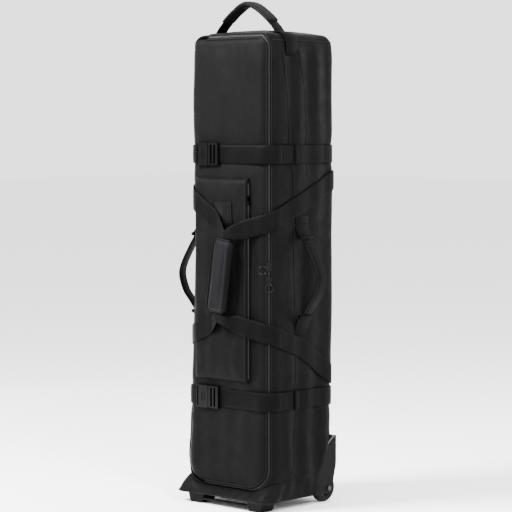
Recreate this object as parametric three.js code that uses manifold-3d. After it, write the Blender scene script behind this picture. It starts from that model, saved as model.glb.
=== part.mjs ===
// A wheeled, soft-sided golf travel case that stands upright on two rear wheels and a front foot bar.
// Millimetres, +X the case's right side, -Y its front, +Z up, floor at z = 0.
import * as THREE from "three";
import { mergeVertices } from "three/addons/utils/BufferGeometryUtils.js";
import Module from "manifold-3d";

const wasm = await Module();
wasm.setup();

// ---------- driving dimensions ----------
const caseWidth = 304;
const caseDepth = 262;
const caseBottom = 40;
const caseTop = 1280;
const frontRadius = 38; // vertical front edges
const backRadius = 34; // vertical back edges
const edgeRound = 30; // top and bottom edges
const wall = 9; // padded fabric wall
const gap = 0.4; // between touching pieces

const webWidth = 50; // load webbing
const webThick = 2;
const upperStrapZ = 957;
const lowerStrapZ = 296;

const wheelRadius = 40;
const wheelWidth = 24;
const wheelX = 131; // middle of the tyre
const axleY = 104;
const axleRadius = 3.95;

const frontY = -caseDepth / 2;
const sideX = caseWidth / 2;
const pocket = { left: -118, right: 82, bottom: 342, top: 895, bulge: 18, sheet: 2.5 };
const frameShiftY = 20.5; // puts the origin under the middle of the bounding box

const radians = THREE.MathUtils.degToRad;
const vector = (x, y, z) => new THREE.Vector3(x, y, z);

// ---------- materials ----------
const finish = (color, roughness, metalness = 0) =>
  new THREE.MeshStandardMaterial({ color, roughness, metalness });
const materials = {
  fabric: finish(0x1e1e20, 0.85),
  webbing: finish(0x161617, 0.8),
  plastic: finish(0x101011, 0.45),
  buckle: finish(0x0c0c0d, 0.3),
  rubber: finish(0x1a1a1a, 0.7),
  steel: finish(0x8a8c90, 0.35, 1),
  gunmetal: finish(0x3a3b3e, 0.25, 1),
  foam: finish(0x3c3c3f, 0.95),
};

// ---------- solids ----------
// A geometry's position-only copy, its faces turned outwards.
function outward(geometry) {
  const flat = geometry.index ? geometry.toNonIndexed() : geometry.clone();
  flat.deleteAttribute("normal");
  flat.deleteAttribute("uv");
  const merged = mergeVertices(flat, 1e-4);
  const p = merged.getAttribute("position");
  const index = merged.index.array;
  const [a, b, c] = [vector(0, 0, 0), vector(0, 0, 0), vector(0, 0, 0)];
  const kept = [];
  let volume = 0;
  for (let i = 0; i < index.length; i += 3) {
    if (index[i] === index[i + 1] || index[i + 1] === index[i + 2] || index[i] === index[i + 2]) continue;
    kept.push(index[i], index[i + 1], index[i + 2]);
    a.fromBufferAttribute(p, index[i]);
    b.fromBufferAttribute(p, index[i + 1]);
    c.fromBufferAttribute(p, index[i + 2]);
    volume += a.dot(b.cross(c));
  }
  if (volume < 0) kept.reverse();
  merged.setIndex(kept);
  return merged;
}

function solid(geometry) {
  const closed = outward(geometry);
  return new wasm.Manifold(
    new wasm.Mesh({
      numProp: 3,
      vertProperties: closed.getAttribute("position").array,
      triVerts: new Uint32Array(closed.index.array),
    }),
  );
}

function geometryOf(body) {
  const made = body.getMesh();
  const geometry = new THREE.BufferGeometry();
  geometry.setAttribute("position", new THREE.BufferAttribute(made.vertProperties, 3));
  geometry.setIndex(new THREE.BufferAttribute(made.triVerts, 1));
  geometry.computeVertexNormals();
  return geometry;
}

function block(x0, x1, y0, y1, z0, z1) {
  const geometry = new THREE.BoxGeometry(x1 - x0, y1 - y0, z1 - z0);
  return solid(geometry.translate((x0 + x1) / 2, (y0 + y1) / 2, (z0 + z1) / 2));
}

// A cylinder along X.
function rod(radius, x0, x1, y, z, sides = 32) {
  const geometry = new THREE.CylinderGeometry(radius, radius, x1 - x0, sides);
  return solid(geometry.rotateZ(Math.PI / 2).translate((x0 + x1) / 2, y, z));
}

// A profile turned about an axle along X: points are (radius, x).
function turned(profile, y, z, sides = 40) {
  const points = profile.map(([r, x]) => new THREE.Vector2(r, x));
  points.push(points[0].clone());
  return solid(new THREE.LatheGeometry(points, sides).rotateZ(-Math.PI / 2).translate(0, y, z));
}

// An outline drawn in X and Z, made solid between two depths.
function frontPrism(shape, y0, y1, curveSegments = 6) {
  const geometry = new THREE.ExtrudeGeometry(shape, {
    depth: y1 - y0,
    bevelEnabled: false,
    curveSegments,
  });
  return solid(geometry.rotateX(Math.PI / 2).translate(0, y1, 0));
}

// An outline drawn in Y and Z, made solid between two widths.
function sidePrism(shape, x0, x1, curveSegments = 6) {
  const geometry = new THREE.ExtrudeGeometry(shape, {
    depth: x1 - x0,
    bevelEnabled: false,
    curveSegments,
  });
  return solid(geometry.rotateX(Math.PI / 2).rotateZ(Math.PI / 2).translate(x0, 0, 0));
}

const outlineOf = (points) => new THREE.Shape(points.map(([a, b]) => new THREE.Vector2(a, b)));

// A section carried along frames {at, u, v}; its corners are (along u, along v).
function swept(frames, sectionAt) {
  const rings = frames.map((f, i) =>
    sectionAt(f, i).map(([a, b]) => f.at.clone().addScaledVector(f.u, a).addScaledVector(f.v, b)),
  );
  const n = rings[0].length;
  const positions = rings.flat().flatMap((p) => [p.x, p.y, p.z]);
  const index = [];
  for (let i = 0; i + 1 < rings.length; i++) {
    for (let k = 0; k < n; k++) {
      const [a, b] = [i * n + k, i * n + ((k + 1) % n)];
      index.push(a, b, b + n, a, b + n, a + n);
    }
  }
  const last = (rings.length - 1) * n;
  for (let k = 1; k + 1 < n; k++) {
    index.push(0, k + 1, k, last, last + k, last + k + 1);
  }
  const geometry = new THREE.BufferGeometry();
  geometry.setAttribute("position", new THREE.Float32BufferAttribute(positions, 3));
  geometry.setIndex(index);
  return solid(geometry);
}

// Piecewise-linear value through keys [place, value].
function along(keys, place) {
  const rising = keys[0][0] < keys[keys.length - 1][0] ? keys : [...keys].reverse();
  if (place <= rising[0][0]) return rising[0][1];
  for (let i = 1; i < rising.length; i++) {
    const [[p0, v0], [p1, v1]] = [rising[i - 1], rising[i]];
    if (place <= p1) return v0 + ((v1 - v0) * (place - p0)) / (p1 - p0);
  }
  return rising[rising.length - 1][1];
}

// ---------- the case's plan outline ----------
const frontFlat = sideX - frontRadius;
const frontArc = (Math.PI / 2) * frontRadius;
const sideFlat = caseDepth - frontRadius - backRadius;
const backArc = (Math.PI / 2) * backRadius;
const sideStart = frontFlat + frontArc;
const backStart = sideStart + sideFlat;
const backMiddle = backStart + backArc + sideX - backRadius;
const zipPlace = frontFlat + frontArc / 2; // the zip runs down the middle of the front edge
const zipX = frontFlat + frontRadius * Math.SQRT1_2;
const zipY = frontY + frontRadius * (1 - Math.SQRT1_2);

function caseOutline(grow = 0) {
  const [w, d] = [sideX + grow, caseDepth / 2 + grow];
  const [rf, rb] = [frontRadius + grow, backRadius + grow];
  const shape = new THREE.Shape();
  shape.moveTo(-w + rf, -d);
  shape.lineTo(w - rf, -d);
  shape.absarc(w - rf, -d + rf, rf, -Math.PI / 2, 0);
  shape.lineTo(w, d - rb);
  shape.absarc(w - rb, d - rb, rb, 0, Math.PI / 2);
  shape.lineTo(-w + rb, d);
  shape.absarc(-w + rb, d - rb, rb, Math.PI / 2, Math.PI);
  shape.lineTo(-w, -d + rf);
  shape.absarc(-w + rf, -d + rf, rf, Math.PI, 1.5 * Math.PI);
  return shape;
}

// The case's outer volume, grown outwards all round.
function caseVolume(grow = 0) {
  const round = edgeRound + Math.min(grow, 0);
  const geometry = new THREE.ExtrudeGeometry(caseOutline(grow), {
    depth: caseTop - caseBottom + 2 * grow - 2 * round,
    bevelThickness: round,
    bevelSize: round,
    bevelOffset: -round,
    bevelSegments: 4,
    curveSegments: 8,
  });
  return solid(geometry.translate(0, 0, caseBottom - grow + round));
}

// Point and outward normal on the plan outline; places run right (+) or left (-) from the front middle.
function onCase(place) {
  const side = place < 0 ? -1 : 1;
  let run = Math.abs(place);
  let [x, y, nx, ny] = [run, frontY, 0, -1];
  if (run > backStart + backArc) {
    [x, y, nx, ny] = [backMiddle - run, caseDepth / 2, 0, 1];
  } else if (run > backStart) {
    const a = (run - backStart) / backRadius;
    [nx, ny] = [Math.cos(a), Math.sin(a)];
    [x, y] = [sideX - backRadius + backRadius * nx, caseDepth / 2 - backRadius + backRadius * ny];
  } else if (run > sideStart) {
    [x, y, nx, ny] = [sideX, frontY + frontRadius + run - sideStart, 1, 0];
  } else if (run > frontFlat) {
    const a = (run - frontFlat) / frontRadius;
    [nx, ny] = [Math.sin(a), -Math.cos(a)];
    [x, y] = [frontFlat + frontRadius * nx, frontY + frontRadius + frontRadius * ny];
  }
  return { x: side * x, y, normal: vector(side * nx, ny, 0) };
}

// Places from one to another, with extra ones round the corners and at the keys given.
function placesBetween(from, to, extra = []) {
  const marks = [...extra];
  for (const side of [-1, 1]) {
    for (let k = 0; k <= 6; k++) {
      marks.push(side * (frontFlat + (k / 6) * frontArc), side * (backStart + (k / 6) * backArc));
    }
  }
  const [low, high] = [Math.min(from, to), Math.max(from, to)];
  const inner = marks.filter((m) => m > low + 1 && m < high - 1).sort((a, b) => a - b);
  const all = [low, ...inner, high];
  return all.filter((p, i) => i === 0 || p - all[i - 1] > 0.5);
}

// Webbing laid on the case, cut on upright lines. Height, lift and width are keyed by place.
function webbing(from, to, { height, lift, width = [[0, webWidth]], thick = webThick }) {
  const keys = [...height, ...lift, ...width].map(([p]) => p);
  const centre = (place) => {
    const { x, y, normal } = onCase(place);
    return vector(x, y, along(height, place)).addScaledVector(normal, along(lift, place));
  };
  const frames = placesBetween(from, to, keys).map((place) => {
    const rise = along(height, place + 0.5) - along(height, place - 0.5);
    const half = (along(width, place) / 2) * Math.hypot(1, rise);
    return { at: centre(place), u: onCase(place).normal, v: vector(0, 0, 1), half };
  });
  return swept(frames, ({ half }) => [
    [0, -half],
    [thick, -half],
    [thick, half],
    [0, half],
  ]);
}

// ---------- assembly ----------
const travelCase = new THREE.Group();
function add(name, body, material, parent = travelCase) {
  const mesh = new THREE.Mesh(geometryOf(body), material);
  mesh.name = name;
  parent.add(mesh);
  return mesh;
}
const sides = [
  ["left", -1],
  ["right", 1],
];

// ---------- front opening and zip ----------
const opening = { top: 1273, bottom: 56, topRadius: 34, bottomRadius: 58 };

const foldEase = 8; // added to the lid's corner radii on the side where it folds

function openingOutline(inset, ease = 0) {
  const w = zipX - inset;
  const [low, high] = [opening.bottom + inset, opening.top - inset];
  const [rt, rb] = [opening.topRadius - inset, opening.bottomRadius - inset];
  const [leftTop, leftBottom] = [rt + ease, rb + ease];
  const shape = new THREE.Shape();
  shape.moveTo(-w + leftBottom, low);
  shape.lineTo(w - rb, low);
  shape.absarc(w - rb, low + rb, rb, -Math.PI / 2, 0);
  shape.lineTo(w, high - rt);
  shape.absarc(w - rt, high - rt, rt, 0, Math.PI / 2);
  shape.lineTo(-w + leftTop, high);
  shape.absarc(-w + leftTop, high - leftTop, leftTop, Math.PI / 2, Math.PI);
  shape.lineTo(-w, low + leftBottom);
  shape.absarc(-w + leftBottom, low + leftBottom, leftBottom, Math.PI, 1.5 * Math.PI);
  return shape;
}

// Frames along the zip: along the bottom, up the right edge and back along the top.
// u points out of the case across the zip, v away from the opening along the surface.
function zipFrames() {
  const ends = zipX - opening.bottomRadius;
  const points = [];
  const corner = (x, z, r, from) => {
    for (let k = 0; k <= 6; k++) {
      const a = from + (k / 6) * (Math.PI / 2);
      points.push([x + r * Math.cos(a), z + r * Math.sin(a), Math.cos(a), Math.sin(a)]);
    }
  };
  points.push([-ends, opening.bottom, 0, -1]);
  corner(ends, opening.bottom + opening.bottomRadius, opening.bottomRadius, -Math.PI / 2);
  const topX = zipX - opening.topRadius;
  corner(topX, opening.top - opening.topRadius, opening.topRadius, 0);
  points.push([-ends, opening.top, 0, 1]);
  return points.map(([x, z, ox, oz]) => ({
    at: vector(x, zipY, z),
    u: vector(ox, -1, oz).normalize(),
    v: vector(ox, 1, oz).normalize(),
  }));
}
const alongZip = (section) => swept(zipFrames(), () => section);
const channelHalf = 7.5;
const channelDeep = 8;
const zipChannel = alongZip([
  [-channelDeep, -channelHalf],
  [20, -channelHalf],
  [20, channelHalf],
  [-channelDeep, channelHalf],
]);
// One half of the zip: a flat tape with its coil along the edge that meets the other half.
const zipHalf = (side) =>
  alongZip(
    [
      [-channelDeep + 0.3, 0.3],
      [-channelDeep + 0.3, channelHalf - 0.3],
      [-channelDeep + 1.6, channelHalf - 0.3],
      [-channelDeep + 1.6, 2.8],
      [-channelDeep + 3.2, 2.8],
      [-channelDeep + 3.2, 0.3],
    ].map(([out, across]) => [out, side * across]),
  );

// ---------- wheel corners ----------
const housing = { inner: 107, outer: 154.6, back: caseDepth / 2 + 3, cheek: 8 };
const housingOutline = (grow = 0) =>
  outlineOf([
    [46 - grow, 28 - grow],
    [52 - grow, 77],
    [70 - grow, 135 + grow],
    [110, 176 + grow],
    [124, 183 + grow],
    [housing.back + grow, 184 + grow],
    [housing.back + grow, 104],
    [126, 72],
    [119, 38],
    [112, 27 - grow],
    [100, 24 - grow],
    [76, 26 - grow],
  ]);
const well = { from: housing.inner + housing.cheek, to: housing.outer - 7.6, radius: wheelRadius + 4 };
const wheelWell = rod(well.radius, well.from, well.to, axleY, wheelRadius, 40).add(
  block(well.from, well.to, axleY - well.radius, 170, -20, wheelRadius),
);

function mirrored(body, side) {
  return side > 0 ? body : body.mirror([1, 0, 0]);
}

// ---------- case shell ----------
function caseShell() {
  const inside = caseVolume(-wall).intersect(block(-200, 200, zipY, 200, 0, 1400));
  const mouth = frontPrism(openingOutline(16), -160, -60);
  const lidPlace = frontPrism(openingOutline(0), -160, zipY);
  let shell = caseVolume().subtract(inside).subtract(mouth).subtract(lidPlace).subtract(zipChannel);
  for (const [, side] of sides) {
    const corner = sidePrism(housingOutline(gap), housing.inner - gap, 170).add(
      block(housing.inner - gap, 170, 60, 170, 0, 105),
    );
    shell = shell.subtract(mirrored(corner, side));
  }
  return shell;
}
add("main_shell", caseShell(), materials.fabric);
add("zip_case_half", zipHalf(1), materials.plastic);

const boardThick = 3;
add(
  "back_board",
  block(-108, 108, caseDepth / 2 - wall - gap - boardThick, caseDepth / 2 - wall - gap, 190, 1240),
  materials.plastic,
);
add("top_pad", block(-104, 104, -94, 96, caseTop - wall - gap - 18, caseTop - wall - gap), materials.foam);

// ---------- base ----------
function baseTray() {
  const [low, high] = [30.6, 46];
  const ring = (z, half, front, back) => [
    vector(-half, front, z),
    vector(half, front, z),
    vector(half, back, z),
    vector(-half, back, z),
  ];
  const corners = [...ring(low, 160, -156, 128), ...ring(high, 154.5, -138, 132.5)];
  const geometry = new THREE.BufferGeometry().setFromPoints(corners);
  geometry.setIndex([
    ...[0, 2, 1, 0, 3, 2, 4, 5, 6, 4, 6, 7], // underside and top
    ...[0, 1, 5, 0, 5, 4, 1, 2, 6, 1, 6, 5], // front and right
    ...[2, 3, 7, 2, 7, 6, 3, 0, 4, 3, 4, 7], // back and left
  ]);
  let tray = solid(geometry).subtract(caseVolume(gap));
  for (const [, side] of sides) {
    tray = tray.subtract(mirrored(block(housing.inner - gap, 200, 45.5, 200, 0, 100), side));
  }
  return tray;
}
add("base_tray", baseTray(), materials.plastic);

const foot = { x: 112, topHalf: 32, bottomHalf: 23, height: 30.2, front: -146, back: -98 };
function footBar() {
  const footAt = (side) =>
    outlineOf([
      [side * foot.x - foot.bottomHalf + 4, 0],
      [side * foot.x + foot.bottomHalf - 4, 0],
      [side * foot.x + foot.bottomHalf + 1, 4],
      [side * foot.x + foot.topHalf, foot.height],
      [side * foot.x - foot.topHalf, foot.height],
      [side * foot.x - foot.bottomHalf - 1, 4],
    ]);
  const bar = block(-foot.x, foot.x, foot.front, foot.front + 9, 10, 17);
  const [left, right] = [-1, 1].map((side) => frontPrism(footAt(side), foot.front, foot.back));
  return left.add(right).add(bar);
}
add("foot_bar", footBar(), materials.plastic);

// ---------- wheels ----------
const bearing = { outer: 11, bore: 4.05, width: 7 };
for (const [name, side] of sides) {
  const axis = [axleY, wheelRadius];
  const turn = (profile) => turned(profile.map(([r, x]) => [r, side * x]), ...axis);
  const cheeks = sidePrism(housingOutline(), housing.inner, housing.outer).subtract(wheelWell);
  const corner = cheeks.subtract(rod(axleRadius + 0.4, 0, 200, ...axis, 24));
  add(`wheel_housing_${name}`, mirrored(corner, side), materials.plastic);

  const headX = housing.outer + gap;
  const head = rod(7, headX, headX + 2.6, ...axis);
  const axle = rod(axleRadius, housing.inner + 1, headX + 1, ...axis).add(head);
  add(`wheel_axle_${name}`, mirrored(axle, side), materials.steel);

  const half = wheelWidth / 2;
  const seat = bearing.outer + 0.3;
  const hubHalf = half - 0.5;
  const shoulder = hubHalf - bearing.width - 0.3;
  const hub = turn([
    [seat, wheelX - hubHalf],
    [26.6, wheelX - hubHalf],
    [26.6, wheelX + hubHalf],
    [seat, wheelX + hubHalf],
    [seat, wheelX + shoulder],
    [8, wheelX + shoulder],
    [8, wheelX - shoulder],
    [seat, wheelX - shoulder],
  ]);
  add(`wheel_hub_${name}`, hub, materials.plastic);
  const tyre = turn([
    [27, wheelX - half],
    [34, wheelX - half],
    [38, wheelX - half * 0.72],
    [39.6, wheelX - half * 0.35],
    [wheelRadius, wheelX],
    [39.6, wheelX + half * 0.35],
    [38, wheelX + half * 0.72],
    [34, wheelX + half],
    [27, wheelX + half],
  ]);
  add(`wheel_tyre_${name}`, tyre, materials.rubber);
  for (const [place, from] of [
    ["inner", wheelX - hubHalf],
    ["outer", wheelX + hubHalf - bearing.width],
  ]) {
    const ring = turn([
      [bearing.bore, from],
      [bearing.outer, from],
      [bearing.outer, from + bearing.width],
      [bearing.bore, from + bearing.width],
    ]);
    add(`wheel_bearing_${name}_${place}`, ring, materials.steel);
  }
}

// ---------- lid, with its pocket ----------
// Its left corners are rounder than the opening's, so they clear the shell as the lid folds back.
function lidPanel() {
  const front = frontPrism(openingOutline(gap, foldEase), -160, zipY - gap);
  return caseVolume().intersect(front).subtract(zipChannel);
}
add("lid_panel", lidPanel(), materials.fabric);
add("zip_lid_half", zipHalf(-1), materials.plastic);

function pocketShell() {
  const skin = (inset, backY) => {
    const out = frontY - pocket.bulge + inset;
    const [l, r] = [pocket.left + inset, pocket.right - inset];
    return new THREE.Shape([
      new THREE.Vector2(l, backY),
      new THREE.Vector2(l + 2, out + 6),
      new THREE.Vector2(l + 14, out),
      new THREE.Vector2(r - 3, out),
      new THREE.Vector2(r, out + 3),
      new THREE.Vector2(r, backY),
    ]);
  };
  const prism = (shape, z0, z1) =>
    solid(
      new THREE.ExtrudeGeometry(shape, { depth: z1 - z0, bevelEnabled: false }).translate(0, 0, z0),
    );
  const { bottom, top, sheet } = pocket;
  const outer = prism(skin(0, frontY - gap), bottom, top);
  const inner = prism(skin(sheet, frontY + 5), bottom + sheet, top - sheet);
  const zipSlot = block(pocket.right - 5, pocket.right + 5, frontY - 12, frontY - 5, bottom + 14, top - 14);
  return outer.subtract(inner).subtract(zipSlot);
}
add("pocket_shell", pocketShell(), materials.fabric);
add(
  "pocket_zip",
  block(
    pocket.right - 2.2,
    pocket.right - 0.3,
    frontY - 11.6,
    frontY - 5.4,
    pocket.bottom + 14.4,
    pocket.top - 14.4,
  ),
  materials.plastic,
);
const patchFront = frontY - pocket.bulge - 0.4;
add("blank_patch", block(-30, 34, patchFront - 1.6, patchFront, 768, 829), materials.rubber);

// ---------- compression straps and their buckles ----------
const hingeGap = 7; // webbing stops this far each side of the lid's fold
const swingPlace = sideStart + 3; // where a strap's long half starts to hang from the side
const buckle = { left: -111, split: -66, right: -28, half: 31, inner: frontY - 2.4, deep: 12.6 };
const strapLift = [
  [zipPlace - 34, 1.2],
  [zipPlace, 4],
  [zipPlace + 34, 1.2],
];

function buckleSocket(z) {
  const { left, split, half, inner, deep } = buckle;
  const [y0, y1] = [inner - deep, inner];
  const chamber = block(left + 11, split + 5, y0 + 2.6, y1 - 2.6, z - half + 5, z + half - 5);
  const windows = block(left + 13, left + 34, y0 + 2.6, y1 - 2.6, z - half - 5, z + half + 5);
  const bar = block(left + 3.5, left + 7.5, y0 - 5, y1 + 5, z - 26, z + 26);
  return block(left, split, y0, y1, z - half, z + half).subtract(chamber).subtract(windows).subtract(bar);
}

function bucklePlug(z) {
  const { left, split, right, half, inner, deep } = buckle;
  const [y0, y1] = [inner - deep + 1, inner - 1];
  const slots = [split + 9, split + 22].map((x) => block(x, x + 6, y0 - 5, y1 + 5, z - 26, z + 26));
  const frame = block(split + gap, right, y0, y1, z - half + 1, z + half - 1);
  const tongue = block(left + 16, split + 2, y0 + 4, y1 - 4, z - 5, z + 5);
  return frame.subtract(slots[0]).subtract(slots[1]).add(tongue);
}

// One squeeze arm of a plug: a bar in the socket's chamber with a thumb pad in its side window.
function releaseArm(z, side) {
  const { left, split, inner, deep, half } = buckle;
  const [y0, y1] = [inner - deep + 3.4, inner - 3.4];
  const bar = block(left + 17, split - gap, y0, y1, 11, 18);
  const pad = block(left + 17, left + 31, y0, y1, 11, half - 1.5);
  const arm = bar.add(pad);
  return (side > 0 ? arm : arm.mirror([0, 0, 1])).translate([0, 0, z]);
}

for (const [name, z] of [
  ["upper", upperStrapZ],
  ["lower", lowerStrapZ],
]) {
  const level = [[0, z]];
  const onSurface = { height: level, lift: [[0, 1.2]] };
  const around = webbing(swingPlace + 1, backMiddle, onSurface);
  const band = around.add(webbing(-backMiddle, -(zipPlace + hingeGap), onSurface));
  add(`${name}_strap_band`, band, materials.webbing);
  const short = webbing(-(zipPlace - hingeGap), buckle.left - 1, onSurface);
  add(`${name}_strap_short`, short, materials.webbing);
  add(`${name}_buckle_socket`, buckleSocket(z), materials.buckle);
  add(`${name}_buckle_plug`, bucklePlug(z), materials.buckle);
  for (const [place, side] of [
    ["top", 1],
    ["bottom", -1],
  ]) {
    add(`${name}_release_arm_${place}`, releaseArm(z, side), materials.buckle);
  }
  const doubled = { height: level, lift: strapLift, thick: 2 * webThick + 0.3 };
  add(`${name}_strap_long`, webbing(buckle.right + 1, swingPlace, doubled), materials.webbing);
}

// ---------- carrying straps and their wrap ----------
const wrap = { x: 11, y: -172, z: 631, half: 99, wide: 60, deep: 26, tilt: radians(8.4) };
// Each strap runs from the wrap's end round the case's side to its back edge: [place, height].
const haulRoute = {
  right: {
    upper: [[27.5, 742], [150, 778], [258, 828], [388, 888]],
    lower: [[-5.5, 518], [146, 478], [258, 434], [375, 356]],
  },
  left: {
    upper: [[22.5, 742], [-30, 780], [-72, 806], [-130, 842], [-260, 868], [-388, 888]],
    lower: [[-3.5, 518], [-60, 490], [-100, 474], [-140, 462], [-260, 426], [-375, 356]],
  },
};
const haulLayer = { right: 42.5, left: 38 }; // lift of each strap inside the wrap
const bulgeLift = pocket.bulge + 2.2;
const rightLift = [[86, bulgeLift], [110, 7], [zipPlace, 4], [swingPlace + 12, 2.8]];
const leftLift = [[-103, bulgeLift], [-118.6, 14], [-127, 3.4], [-140, 2.8]];
const haulLift = {
  right: {
    upper: [[50.5, haulLayer.right], [76, bulgeLift + 4], ...rightLift],
    lower: [[24.5, haulLayer.right], [58.5, bulgeLift + 4], ...rightLift],
  },
  left: {
    upper: [[22.5, haulLayer.left], [-19.5, bulgeLift], ...leftLift],
    lower: [[-5.5, haulLayer.left], [-43.5, bulgeLift], ...leftLift],
  },
};
const haulWidth = {
  right: {
    upper: [[27.5, 20], [80, webWidth]],
    lower: [[-2.5, 20], [30.5, 24], [58.5, webWidth]],
  },
  left: { upper: [[22.5, 20], [-27.5, webWidth]], lower: [[-5.5, 20], [-45.5, webWidth]] },
};

function haulStrap(side) {
  const sign = side === "right" ? 1 : -1;
  const end = side === "right" ? swingPlace : -(zipPlace - hingeGap);
  const layerY = frontY - haulLayer[side];
  const inWrap = new THREE.BoxGeometry(40, webThick, 2 * wrap.half + 24)
    .rotateY(wrap.tilt)
    .translate(wrap.x, layerY - webThick / 2, wrap.z);
  return ["upper", "lower"].reduce((strap, level) => {
    const height = haulRoute[side][level];
    const leg = { height, lift: haulLift[side][level], width: haulWidth[side][level] };
    return strap.add(webbing(height[0][0] - sign * 3, end, leg));
  }, solid(inWrap));
}

for (const [side, sign] of sides) {
  add(`haul_strap_${side}`, haulStrap(side), materials.webbing);
  for (const level of ["upper", "lower"]) {
    const height = haulRoute[side][level];
    const start = side === "right" ? swingPlace + 1 : -(zipPlace + hingeGap);
    const end = height[height.length - 1][0];
    add(`haul_band_${side}_${level}`, webbing(start, end, { height, lift: [[0, 2.8]] }), materials.webbing);
  }
}

function gripWrap() {
  const section = (w, d) => {
    const shape = new THREE.Shape();
    const r = d / 2;
    shape.moveTo(-w / 2 + r, -d / 2);
    shape.lineTo(w / 2 - r, -d / 2);
    shape.absarc(w / 2 - r, 0, r, -Math.PI / 2, Math.PI / 2);
    shape.lineTo(-w / 2 + r, d / 2);
    shape.absarc(-w / 2 + r, 0, r, Math.PI / 2, 1.5 * Math.PI);
    return shape;
  };
  const tube = (shape, half) => {
    const geometry = new THREE.ExtrudeGeometry(shape, {
      depth: 2 * half,
      bevelEnabled: false,
      curveSegments: 8,
    });
    return solid(geometry.translate(0, 0, -half));
  };
  return tube(section(wrap.wide, wrap.deep), wrap.half).subtract(block(-25.5, 25.5, -4.5, 4.5, -120, 120));
}
const wrapMesh = add("grip_wrap", gripWrap(), materials.fabric);
wrapMesh.position.set(wrap.x, wrap.y, wrap.z);
wrapMesh.rotation.y = wrap.tilt;

// ---------- zip sliders and ring pulls ----------
// A slider's own frame: origin on the zip line, -Y out of the case, Z up the zip.
function sliderSolid() {
  const body = block(-5.5, 5.5, -2, 4.2, -11, 11);
  const nose = block(-3.2, 3.2, -2, 4.2, -13, 13);
  const bridge = block(-2, 2, -5.2, -1, -6, 6).subtract(block(-5, 5, -3.6, -2.2, -3.4, 3.4));
  return body.add(nose).add(bridge);
}
// A flat ring on a short link, hanging from its pivot at the origin.
function ringPull(linkLength, ringRadius) {
  const thick = 1.8;
  const ring = (r) =>
    solid(new THREE.CylinderGeometry(r, r, thick, 28).translate(0, 0, -linkLength - ringRadius + 1));
  const hole = new THREE.CylinderGeometry(ringRadius - 2.4, ringRadius - 2.4, 6, 28);
  const link = block(-3, 3, -thick / 2, thick / 2, -linkLength - 1.5, -1);
  return link
    .add(ring(ringRadius))
    .subtract(solid(hole.translate(0, 0, -linkLength - ringRadius + 1)))
    .add(block(-4.5, 4.5, -thick / 2, thick / 2, -3.4, -1));
}

function placeSlider(name, z, pullTurn) {
  const frame = new THREE.Group();
  frame.position.set(zipX, zipY, z);
  frame.rotation.z = Math.PI / 4;
  travelCase.add(frame);
  add(`${name}_slider`, sliderSolid(), materials.gunmetal, frame);
  const pull = add(`${name}_pull`, ringPull(8, 12), materials.gunmetal, frame);
  pull.position.set(0, -7, 0);
  pull.rotation.y = pullTurn;
}
placeSlider("main_zip_upper", 659, radians(62));
placeSlider("main_zip_lower", 620, 0);

const pocketSlider = new THREE.Group();
pocketSlider.position.set(pocket.right, frontY - 9.2, 838);
pocketSlider.rotation.z = Math.PI / 2;
travelCase.add(pocketSlider);
add("pocket_slider", block(-2.8, 2.8, -3.4, -0.1, -9, 9), materials.gunmetal, pocketSlider);
const pocketPull = add("pocket_pull", ringPull(7, 7.6), materials.gunmetal, pocketSlider);
pocketPull.position.set(0, -4.8, 6);

// ---------- top handle ----------
const topHandle = { y: -48, pivotZ: 1284, apexZ: 1364, halfSpan: 112, width: 38 };
// Frames along a route in X and Z at one depth; u is across its thickness, v is +Y.
function archFrames(points, y, from = 0, to = 1, steps = 16) {
  const curve = new THREE.CatmullRomCurve3(points.map(([x, z]) => vector(x, y, z)), false, "centripetal");
  return Array.from({ length: steps + 1 }, (_, k) => {
    const t = from + ((to - from) * k) / steps;
    const run = curve.getTangentAt(t);
    return { at: curve.getPointAt(t), u: vector(-run.z, 0, run.x), v: vector(0, 1, 0) };
  });
}
const flat = (thick, width) => () => [
  [-thick / 2, -width / 2],
  [thick / 2, -width / 2],
  [thick / 2, width / 2],
  [-thick / 2, width / 2],
];
const topRoute = [
  [-topHandle.halfSpan, topHandle.pivotZ + 1],
  [-92, 1306],
  [-46, 1343],
  [0, topHandle.apexZ],
  [46, 1343],
  [92, 1306],
  [topHandle.halfSpan, topHandle.pivotZ + 1],
];
const topStrap = swept(archFrames(topRoute, topHandle.y), flat(3, topHandle.width));
add("top_handle_strap", topStrap, materials.webbing);
const sleeve = archFrames(topRoute, topHandle.y, 0.2, 0.8, 14);
const sleeveSolid = swept(sleeve, flat(11, 50));
const boreFrames = archFrames(topRoute, topHandle.y, 0.17, 0.83, 16);
const sleeveBore = swept(boreFrames, flat(5.4, topHandle.width + 1.6));
add("top_handle_grip", sleeveSolid.subtract(sleeveBore), materials.fabric);
for (const [name, side] of sides) {
  // The anchor lies over the case's rounded top edge, from its side on to its top.
  const points = [];
  const lift = 1.8;
  const [cx, cz, r] = [sideX - edgeRound, caseTop - edgeRound, edgeRound + lift];
  points.push([side * (sideX + lift), caseTop - edgeRound - 18]);
  for (let k = 0; k <= 5; k++) {
    const a = (k / 5) * (Math.PI / 2);
    points.push([side * (cx + r * Math.cos(a)), cz + r * Math.sin(a)]);
  }
  points.push([side * 100, caseTop + lift]);
  const frames = points.map(([x, z], i) => {
    const [before, after] = [points[Math.max(i - 1, 0)], points[Math.min(i + 1, points.length - 1)]];
    const run = vector(after[0] - before[0], 0, after[1] - before[1]).normalize();
    return { at: vector(x, topHandle.y, z), u: vector(-run.z, 0, run.x), v: vector(0, 1, 0) };
  });
  add(`top_handle_anchor_${name}`, swept(frames, flat(1.8, 46)), materials.webbing);
}

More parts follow.
